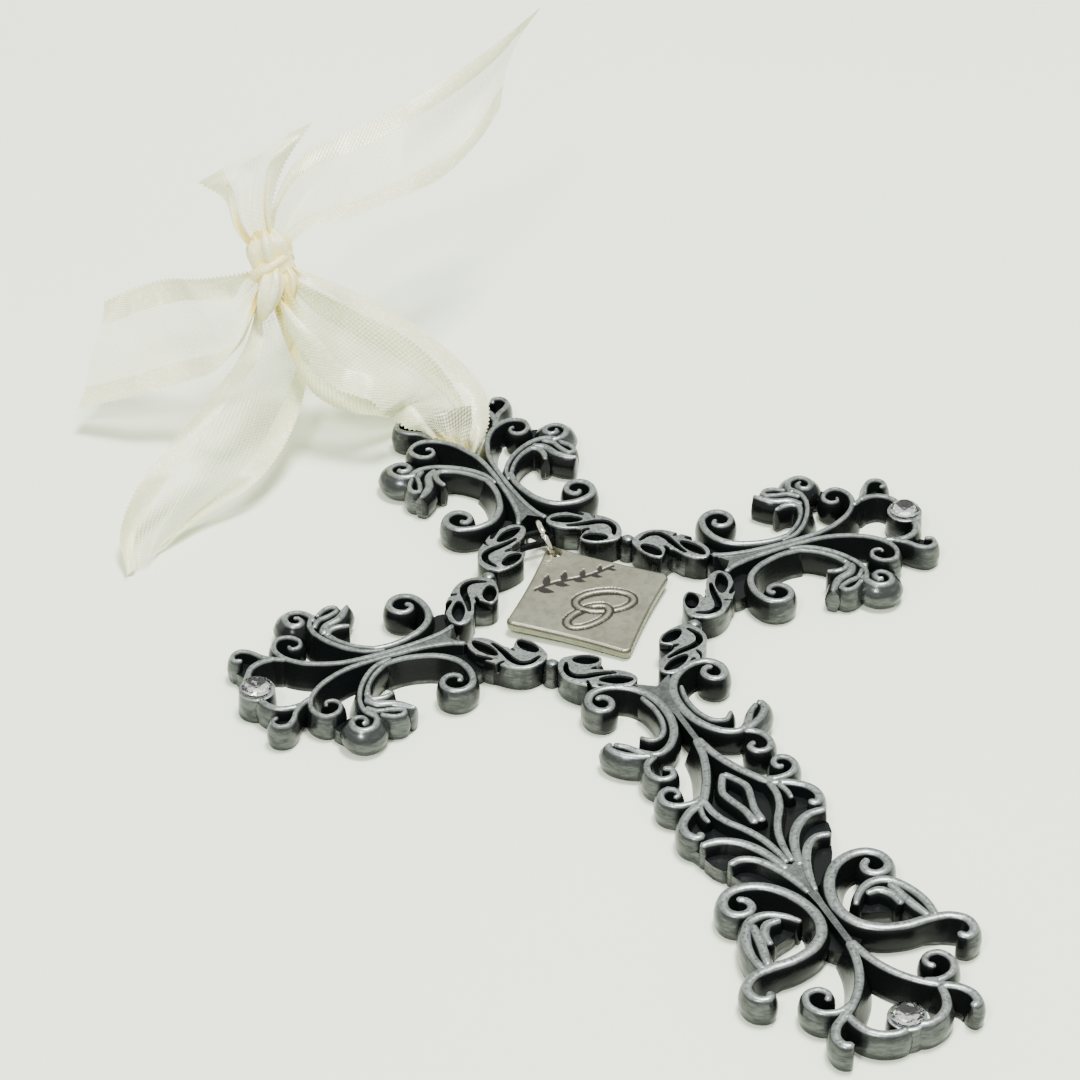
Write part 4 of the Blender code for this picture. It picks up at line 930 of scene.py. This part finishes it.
def ribbon_strip(name, rows, parts, steps=12, columns=44, most=1.5 * MM):
    """A stretch of ribbon. A row is a point on either edge and how far the cloth bows up between them."""
    edges = [smooth_path([ribbon_place(row[side]) for row in rows], steps) for side in (0, 1)]
    bows = smooth_path([Vector((index, row[2] * MM)) for index, row in enumerate(rows)], steps)
    total = len(edges[0])
    runs = []
    for edge in edges:
        run = [0.0]
        for start, end in zip(edge, edge[1:]):
            run.append(run[-1] + (end - start).length)
        runs.append(run)
    work = bmesh.new()
    cloth = work.verts.layers.float_vector.new("cloth")
    grid = []
    for index in range(total):
        left, right = edges[0][index], edges[1][index]
        before, after = max(index - 1, 0), min(index + 1, total - 1)
        heading = (edges[0][after] + edges[1][after] - edges[0][before] - edges[1][before]).normalized()
        up = (right - left).cross(heading).normalized()
        chord = (right - left).length
        bow = bows[index].y
        gathered = min(max((11.5 * MM - chord) / (7 * MM), 0.0), 1.0)
        fine = min(pleat_height(chord, bow, GATHERED_PLEATS), most)
        broad = min(pleat_height(chord, bow, OPEN_PLEATS), most)
        line = []
        for column in range(columns + 1):
            share = column / columns
            rise = bow * math.sin(math.pi * share)
            rise += gathered * fine * math.sin(math.pi * GATHERED_PLEATS * share)
            rise += (1 - gathered) * broad * math.sin(math.pi * OPEN_PLEATS * share)
            spot = left.lerp(right, share) + up * rise
            spot.z = max(spot.z, CLOTH_REST)
            vert = work.verts.new(spot)
            vert[cloth] = (runs[0][index] * (1 - share) + runs[1][index] * share, share * RIBBON_WIDTH, 0.0)
            line.append(vert)
        grid.append(line)
    for row, after in zip(grid, grid[1:]):
        for index in range(columns):
            work.faces.new((row[index], row[index + 1], after[index + 1], after[index]))
    made = from_bmesh(name, work, parts)
    made.data.shade_smooth()
    length = (runs[0][-1] + runs[1][-1]) / 2
    return made, length


def pleated_bundle(name, places, radii, squash, lobes, depth, twist, across, parts, closed=False):
    """Cloth gathered into a bundle along places: a tube with lengthwise pleats that turn slowly about it."""
    sides = 72
    work = bmesh.new()
    cloth = work.verts.layers.float_vector.new("cloth")
    rings = []
    count = len(places)
    for index, (place, radius) in enumerate(zip(places, radii)):
        side, up = ways_across(places, index, across, closed)
        ring = []
        for step in range(sides):
            angle = math.tau * step / sides
            fold = math.cos(lobes * angle + twist * index / count)
            reach = radius * (1 + depth * (abs(fold) ** 0.6 * (1 if fold > 0 else -1)))
            vert = work.verts.new(place + (side * math.cos(angle) * squash + up * math.sin(angle)) * reach)
            vert[cloth] = (index * 0.35 * MM, 2.1 * MM + 1.1 * MM * fold, 0.0)
            ring.append(vert)
        rings.append(ring)
    bridge(work, rings, closed)
    made = from_bmesh(name, work, parts)
    made.data.shade_smooth()
    return made


def build_knot(parts):
    """The knot: a pleated band wound round the gathered bundle, with the loose turn that hangs below it."""
    heart = ribbon_place(KNOT_PLACE)
    axis = KNOT_AXIS.normalized()
    right = Vector((1.0, 0.0, 0.0))
    right = (right - axis * right.dot(axis)).normalized()
    front = axis.cross(right)
    neck = [heart + axis * height + right * shift for height, shift in smooth_pairs(KNOT_NECK)]
    widths = [reach for _, reach in smooth_pairs(KNOT_NECK_RADII)]
    pieces = [pleated_bundle("knot_neck", neck, widths, 1.15, 7, 0.16, 0.9, right, parts)]
    turn = (axis + right * KNOT_WRAP_SLANT).normalized()
    wrap_side = (right - turn * right.dot(turn)).normalized()
    wrap_front = turn.cross(wrap_side)
    steps = 60
    angles = [math.tau * step / steps for step in range(steps)]
    loop = [
        heart + axis * KNOT_WRAP_UP
        + (wrap_side * math.cos(angle) * KNOT_WRAP_WIDE + wrap_front * math.sin(angle)) * KNOT_WRAP_REACH
        for angle in angles
    ]
    swell = [KNOT_WRAP_THICK * (1 + KNOT_WRAP_SWELL * math.sin(angle * 2 + 1.0)) for angle in angles]
    pieces.append(pleated_bundle("knot_wrap", loop, swell, 1.3, 4, 0.17, 2.2, turn, parts, closed=True))
    for name, spots, reaches, flat in KNOT_TURNS:
        knots = [heart + right * x * MM + front * -y * MM + axis * z * MM for x, y, z in spots]
        places = smooth_path(knots, KNOT_TURN_STEPS)
        girths = [Vector((index, reach * MM)) for index, reach in enumerate(reaches)]
        sizes = [girth.y for girth in smooth_path(girths, KNOT_TURN_STEPS)]
        pieces.append(pleated_bundle(name, places, sizes, flat, 4, 0.2, 1.5, right, parts))
    return pieces


def smooth_pairs(pairs):
    """Pairs of numbers, in millimetres, along a smooth curve, in metres."""
    return [(spot.x, spot.y) for spot in smooth_path([Vector(pair) * MM for pair in pairs], 8)]


def common_tree(objects):
    """A search tree of the faces of several objects."""
    points, faces = [], []
    for obj in objects:
        start = len(points)
        points += [v.co.copy() for v in obj.data.vertices]
        faces += [[start + index for index in face.vertices] for face in obj.data.polygons]
    return BVHTree.FromPolygons(points, faces)


def openness(objects, reach, rays, cloth=False):
    """Store on each vertex how far the open air shows from it, from 0 in a deep crevice to 1 on an open side.

    Cloth is seen from both sides, so its rays go out on both.
    """
    tree = common_tree(objects)
    golden = math.pi * (3 - math.sqrt(5))
    fan = []
    for index in range(rays):
        rise = (index + 0.5) / rays
        flat = math.sqrt(1 - rise)
        angle = golden * index
        fan.append(Vector((flat * math.cos(angle), flat * math.sin(angle), math.sqrt(rise))))
    for obj in objects:
        values = []
        for vert in obj.data.vertices:
            free = 0.0
            for normal in ((vert.normal, -vert.normal) if cloth else (vert.normal,)):
                turn = normal.to_track_quat("Z", "Y")
                start = vert.co + normal * 0.03 * MM
                for ray in fan:
                    hit = tree.ray_cast(start, turn @ ray, reach)
                    free += 1.0 if hit[0] is None else (hit[3] / reach) ** 2
            values.append(free / rays / (2 if cloth else 1))
        layer = obj.data.attributes.new("openness", "FLOAT", "POINT")
        layer.data.foreach_set("value", values)


def outwardness(obj, rays):
    """Store on each vertex the share of level lines fanned out from its wall that leave the casting."""
    tree = common_tree([obj])
    far = 22 * MM
    values = []
    for vert in obj.data.vertices:
        flat = Vector((vert.normal.x, vert.normal.y, 0.0))
        if flat.length < 0.25:
            values.append(0.0)
            continue
        flat.normalize()
        across = Vector((-flat.y, flat.x, 0.0))
        start = vert.co + vert.normal * 0.03 * MM
        free = 0
        for index in range(rays):
            angle = math.radians(150) * ((index + 0.5) / rays - 0.5)
            free += tree.ray_cast(start, flat * math.cos(angle) + across * math.sin(angle), far)[0] is None
        values.append(free / rays)
    layer = obj.data.attributes.new("outward", "FLOAT", "POINT")
    layer.data.foreach_set("value", values)


def shade_smooth(obj, degrees):
    """Smooth shading with sharp edges beyond an angle."""
    obj.data.shade_smooth()
    obj.data.set_sharp_from_angle(angle=math.radians(degrees))


class Shade:
    """A material under construction: short ways to add and join its nodes."""

    def __init__(self, name):
        self.material = bpy.data.materials.new(name)
        self.material.use_nodes = True
        self.tree = self.material.node_tree
        self.shader = self.tree.nodes["Principled BSDF"]

    def node(self, kind, **settings):
        made = self.tree.nodes.new(kind)
        for key, value in settings.items():
            setattr(made, key, value)
        return made

    def join(self, value, socket):
        """Set a socket to a number or colour, or link an output to it."""
        if isinstance(value, bpy.types.NodeSocket):
            self.tree.links.new(value, socket)
        elif isinstance(value, tuple) and len(value) == 3 and socket.type == "RGBA":
            socket.default_value = (*value, 1.0)
        else:
            socket.default_value = value

    def math(self, operation, a, b=0.0, c=0.0):
        made = self.node("ShaderNodeMath", operation=operation)
        for value, socket in zip((a, b, c), made.inputs):
            self.join(value, socket)
        return made.outputs[0]

    def ramp(self, value, low, high, start=0.0, end=1.0):
        """Smoothly from start to end as the value goes from low to high."""
        made = self.node("ShaderNodeMapRange", interpolation_type="SMOOTHSTEP")
        for given, socket in zip((value, low, high, start, end), made.inputs):
            self.join(given, socket)
        return made.outputs[0]

    def mix(self, share, a, b):
        """A colour between two."""
        made = self.node("ShaderNodeMix", data_type="RGBA")
        self.join(share, made.inputs["Factor"])
        self.join(a, made.inputs[6])
        self.join(b, made.inputs[7])
        return made.outputs[2]

    def place(self, scale=(1.0, 1.0, 1.0)):
        """The surface's own coordinates, scaled."""
        coordinates = self.node("ShaderNodeTexCoord")
        made = self.node("ShaderNodeMapping")
        self.join(coordinates.outputs["Object"], made.inputs["Vector"])
        made.inputs["Scale"].default_value = scale
        return made.outputs[0]

    def height(self):
        """The surface's height above the table, in metres."""
        coordinates = self.node("ShaderNodeTexCoord")
        parts = self.node("ShaderNodeSeparateXYZ")
        self.join(coordinates.outputs["Object"], parts.inputs[0])
        return parts.outputs["Z"]

    def attribute(self, name, output="Fac"):
        return self.node("ShaderNodeAttribute", attribute_name=name).outputs[output]

    def noise(self, vector, scale, detail=3.0, roughness=0.5):
        made = self.node("ShaderNodeTexNoise")
        given = {"Vector": vector, "Scale": scale, "Detail": detail, "Roughness": roughness}
        for key, value in given.items():
            self.join(value, made.inputs[key])
        return made.outputs[0]

    def bump(self, height, distance, strength=1.0, normal=None):
        made = self.node("ShaderNodeBump")
        self.join(height, made.inputs["Height"])
        made.inputs["Distance"].default_value = distance
        made.inputs["Strength"].default_value = strength
        if normal is not None:
            self.join(normal, made.inputs["Normal"])
        return made.outputs[0]

    def finish(self, **sockets):
        """Set the shader's sockets by their names, with underscores for spaces."""
        for key, value in sockets.items():
            self.join(value, self.shader.inputs[key.replace("_", " ")])
        return self.material


def cast_material():
    """Antiqued casting: rubbed grey ridges, brushed outer walls and glossy black hollows."""
    shade = Shade("cast_antique")
    grain = shade.noise(shade.place(), 2600.0, 3.0)
    patches = shade.noise(shade.place(), 420.0, 4.0, 0.6)
    streaks = shade.noise(shade.place((900.0, 900.0, 4200.0)), 1.0, 3.0)
    facing = shade.node("ShaderNodeSeparateXYZ")
    shade.join(shade.node("ShaderNodeNewGeometry").outputs["Normal"], facing.inputs[0])
    steep = shade.ramp(shade.math("ABSOLUTE", facing.outputs["Z"]), 0.7, 0.95, 1.0, 0.0)
    uneven = shade.math("SUBTRACT", patches, 0.5)
    height = shade.math("ADD", shade.height(), shade.math("MULTIPLY", uneven, 0.16 * MM))
    ridge = shade.ramp(height, CAST_TOP - 0.34 * MM, CAST_TOP - 0.1 * MM)
    air = shade.math("ADD", shade.attribute("outward"), shade.math("MULTIPLY", uneven, 0.35))
    outer = shade.math("MULTIPLY", shade.ramp(air, 0.4, 0.68), steep)
    worn = shade.noise(shade.place((1.0, 1.0, 2.5)), 420.0, 4.0, 0.6)
    rubbed = shade.math("MULTIPLY", outer, shade.ramp(streaks, 0.3, 0.7, 0.6, 1.0))
    rubbed = shade.math("MULTIPLY", rubbed, shade.ramp(worn, 0.32, 0.62, 0.45, 1.0))
    black = (0.0045, 0.0055, 0.0055)
    wall = shade.mix(rubbed, black, (0.115, 0.121, 0.12))
    bright = shade.mix(shade.ramp(patches, 0.3, 0.7), (0.19, 0.212, 0.203), (0.28, 0.307, 0.295))
    bright = shade.mix(shade.ramp(grain, 0.45, 0.75, 0.0, 0.45), bright, (0.4, 0.43, 0.415))
    pitted = shade.ramp(steep, 0.0, 1.0, 0.55, 0.9)
    ridge_share = shade.math("MULTIPLY", ridge, shade.ramp(grain, 0.3, 0.5, pitted, 1.0))
    colour = shade.mix(ridge_share, wall, bright)
    bare = shade.math("MAXIMUM", ridge_share, rubbed)
    metallic = shade.ramp(bare, 0.05, 0.6, 0.05, 0.85)
    roughness = shade.math("ADD", shade.ramp(ridge_share, 0.0, 1.0, 0.24, 0.34),
                           shade.math("MULTIPLY", shade.math("SUBTRACT", grain, 0.5), 0.14))
    normal = shade.bump(streaks, 0.03 * MM, 0.4, shade.bump(grain, 0.02 * MM, 0.6))
    return shade.finish(Base_Color=colour, Metallic=metallic, Roughness=roughness, Normal=normal,
                        Specular_IOR_Level=0.16)


def pewter_material():
    """Warm antique pewter with dark patina in its engraved lines."""
    shade = Shade("tag_pewter")
    mottle = shade.noise(shade.place(), 900.0, 5.0, 0.65)
    clouds = shade.noise(shade.place(), 160.0, 3.0)
    dark = shade.attribute("patina")
    face = shade.mix(shade.ramp(clouds, 0.3, 0.7), (0.2, 0.197, 0.145), (0.255, 0.25, 0.19))
    face = shade.mix(shade.ramp(mottle, 0.5, 0.75, 0.0, 0.4), face, (0.13, 0.125, 0.085))
    colour = shade.mix(dark, face, (0.012, 0.01, 0.008))
    roughness = shade.math("ADD", shade.ramp(mottle, 0.3, 0.7, 0.3, 0.44), shade.math("MULTIPLY", dark, 0.3))
    normal = shade.bump(mottle, 0.02 * MM, 0.5)
    metallic = shade.ramp(dark, 0.0, 1.0, 0.85, 0.0)
    return shade.finish(Base_Color=colour, Metallic=metallic, Roughness=roughness, Normal=normal,
                        Specular_IOR_Level=0.2)


def wire_material():
    """Bright plated wire with faint drawing marks."""
    shade = Shade("ring_plated")
    marks = shade.noise(shade.place((1500.0, 1500.0, 400.0)), 1.0, 2.0)
    warm = shade.noise(shade.place(), 700.0, 2.0)
    colour = shade.mix(shade.ramp(warm, 0.35, 0.7), (0.72, 0.72, 0.7), (0.78, 0.7, 0.48))
    return shade.finish(Base_Color=colour, Metallic=1.0, Roughness=shade.ramp(marks, 0.3, 0.7, 0.1, 0.22),
                        Normal=shade.bump(marks, 0.006 * MM, 0.5))


def stone_materials():
    """Clear cut glass, and the silver foil behind its lower facets."""
    clear = Shade("stone_clear")
    ripple = clear.noise(clear.place(), 500.0, 1.0)
    clear.finish(Base_Color=(1.0, 1.0, 1.0), Roughness=0.0, Transmission_Weight=1.0, IOR=1.55,
                 Normal=clear.bump(ripple, 0.004 * MM, 0.2))
    foil = Shade("stone_foil")
    speck = foil.noise(foil.place(), 1400.0, 2.0)
    foil.finish(Base_Color=foil.mix(speck, (0.93, 0.95, 0.97), (0.98, 0.98, 0.98)), Metallic=1.0,
                Roughness=foil.ramp(speck, 0.3, 0.7, 0.1, 0.22))
    return [clear.material, foil.material]


def ribbon_material():
    """Ivory ribbon: ribbed satin borders with a looped edge beside a sheer woven middle."""
    shade = Shade("ribbon_organza")
    parts = shade.node("ShaderNodeSeparateXYZ")
    shade.join(shade.attribute("cloth", "Vector"), parts.inputs[0])
    along = shade.math("MULTIPLY", parts.outputs["X"], 1 / MM)
    across = shade.math("MULTIPLY", parts.outputs["Y"], 1 / MM)
    inset = shade.math("MINIMUM", across, shade.math("SUBTRACT", RIBBON_WIDTH / MM, across))
    satin = shade.ramp(inset, SATIN_BORDER - 0.08, SATIN_BORDER + 0.12, 1.0, 0.0)
    wobble = shade.math("MULTIPLY", shade.noise(shade.place(), 260.0, 2.0), 1.6)

    def lines(lengthwise, crosswise, pitch):
        """Waves from 0 to 1 along a slanted way over the cloth."""
        run = shade.math("MULTIPLY", along, lengthwise)
        run = shade.math("ADD", run, shade.math("MULTIPLY", across, crosswise))
        turn = shade.math("MULTIPLY", run, math.tau / pitch)
        wave = shade.math("SINE", shade.math("ADD", turn, wobble))
        return shade.math("MULTIPLY_ADD", wave, 0.5, 0.5)

    twill = lines(0.6, 0.8, 0.36)
    warp = lines(0.97, 0.22, 0.56)
    weft = lines(-0.2, 0.97, 0.5)
    # Painted glints: random bright specks in the satin's colour, and more opaque sparkling spots in the sheer
    # middle
    painted_glint = shade.noise(shade.place(), 2300.0, 1.0)
    thread = shade.math("MULTIPLY", shade.math("ADD", warp, weft), 0.5)
    sheer = shade.ramp(thread, 0.25, 0.85, 0.26, 0.62)
    # Painted glints in the sheer: spots where the cloth is more opaque
    sheer = shade.math("ADD", sheer, shade.ramp(painted_glint, 0.6, 0.75, 0.0, 0.25))
    loops = lines(1.0, 0.0, 0.62)
    picot = shade.ramp(shade.math("SUBTRACT", inset, shade.math("MULTIPLY", loops, 0.27)), 0.0, 0.05)
    alpha = shade.math("MULTIPLY", shade.math("MAXIMUM", shade.math("MULTIPLY", satin, 0.97), sheer), picot)

    # Painted light in the folds: where the cloth is closed in it is tinted deep yellow, standing in for light
    # bounced and passed between layers
    painted_fold_glow = shade.ramp(shade.attribute("openness"), 0.3, 0.8, 1.0, 0.0)
    lit = shade.mix(twill, (0.7, 0.705, 0.4), (0.87, 0.88, 0.57))
    # Painted glints: the satin turns near white in random specks
    lit = shade.mix(shade.ramp(painted_glint, 0.5, 0.7, 0.0, 0.7), lit, (0.96, 0.965, 0.78))
    gauze = shade.mix(thread, (0.74, 0.75, 0.44), (0.9, 0.91, 0.62))
    colour = shade.mix(satin, gauze, lit)
    # Painted fold glow: deep yellow where the cloth is closed in
    colour = shade.mix(painted_fold_glow, colour, (0.93, 0.79, 0.24))
    relief = shade.math("ADD", shade.math("MULTIPLY", satin, twill), shade.math("MULTIPLY", thread, 0.5))
    roughness = shade.ramp(satin, 0.0, 1.0, 0.45, 0.3)
    normal = shade.bump(relief, 0.04 * MM, 0.6)
    return shade.finish(Base_Color=colour, Alpha=alpha, Roughness=roughness, Normal=normal,
                        Specular_IOR_Level=0.8, Sheen_Weight=0.15, Sheen_Roughness=0.4)


def dress(piece, materials, replaced):
    """Give a piece its materials and its place in the frame."""
    piece.data.materials.clear()
    for finish in materials:
        piece.data.materials.append(finish)
    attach(piece, "root")
    if replaced:
        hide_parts(replaced)


def main():
    """Build every piece, dress the frame and set up the light and the camera."""
    shop = bpy.data.collections.new("workshop")
    parts = bpy.data.collections.new("looks")
    for home in (shop, parts):
        bpy.context.scene.collection.children.link(home)
    rays = 24
    casting = build_casting(shop, parts)
    shade_smooth(casting, 38)
    outwardness(casting, rays)
    dress(casting, [cast_material()], "cross")
    dress(build_tag(shop, parts), [pewter_material()], "charm")
    dress(build_link_ring(parts), [wire_material()], "jump_ring")
    stone_finish = stone_materials()
    for name, place in stone_places().items():
        dress(build_stone(name.replace("crystal", "stone"), place, parts), stone_finish, name)

    cloth = ribbon_material()
    strips = {"hanger": ribbon_strip("hanger", HANGER, parts, most=1.2 * MM)}
    for name, rows in RIBBON_TAILS.items():
        strips[name] = ribbon_strip(name, rows, parts)
    knot = build_knot(parts)
    # The ribbon's openness sets its painted yellow glow in closed-in folds
    openness([piece for piece, _ in strips.values()] + knot, 3.0 * MM, rays // 2, cloth=True)
    for piece in knot:
        dress(piece, [cloth], "ribbon")
    for name, (piece, length) in strips.items():
        dress(piece, [cloth], "ribbon")
    bpy.data.collections.remove(shop)
    build_stage()


FOCAL_LENGTH = 129.2         # for a sensor 36 mm wide
CAMERA_PLACE = Vector((-0.15806, -0.33572, 0.28787))  # metres from the middle of the cross
CAMERA_VIEW = Vector((0.32979, 0.73151, -0.59677))
CAMERA_UP = Vector((0.24428, 0.54448, 0.80242))


def area_light(name, place, target, size, watts, colour=(1.0, 1.0, 1.0)):
    """A soft square light aimed at a point."""
    lamp = bpy.data.lights.new(name, "AREA")
    lamp.energy = watts
    lamp.size = size
    lamp.color = colour
    made = bpy.data.objects.new(name, lamp)
    made.location = place
    made.rotation_mode = "QUATERNION"
    made.rotation_quaternion = (Vector(target) - Vector(place)).to_track_quat("-Z", "Y")
    bpy.context.scene.collection.objects.link(made)


def build_stage():
    """The pale table, soft light and the camera where the photo was taken."""
    work = bmesh.new()
    bmesh.ops.create_grid(work, x_segments=2, y_segments=2, size=3.0)
    table = from_bmesh("table", work, bpy.context.scene.collection)
    table.location.z = -0.02 * MM
    shade = Shade("table_white")
    patches = shade.noise(shade.place(), 9.0, 2.0)
    colour = shade.mix(shade.ramp(patches, 0.3, 0.7), (0.81, 0.875, 0.7), (0.835, 0.9, 0.73))
    table.data.materials.append(shade.finish(Base_Color=colour, Roughness=0.55))

    camera = bpy.data.cameras.new("camera")
    camera.lens = FOCAL_LENGTH
    camera.sensor_width = 36.0
    camera.clip_start = 0.01
    camera.clip_end = 20.0
    eye = bpy.data.objects.new("camera", camera)
    right = CAMERA_VIEW.cross(CAMERA_UP).normalized()
    up = right.cross(CAMERA_VIEW).normalized()
    turned = Matrix((right, up, -CAMERA_VIEW)).transposed().to_4x4()
    eye.matrix_world = Matrix.Translation(MIDDLE + CAMERA_PLACE) @ turned
    bpy.context.scene.collection.objects.link(eye)
    bpy.context.scene.camera = eye

    sky = bpy.data.worlds.new("soft_room")
    sky.use_nodes = True
    sky.node_tree.nodes["Background"].inputs["Color"].default_value = (0.94, 0.97, 0.92, 1.0)
    sky.node_tree.nodes["Background"].inputs["Strength"].default_value = 1.05
    bpy.context.scene.world = sky
    area_light("key", (0.16, 0.1, 0.92), MIDDLE, 0.26, 18.0)
    area_light("front", (-0.38, -0.3, 0.62), MIDDLE, 0.12, 4.2)


main()
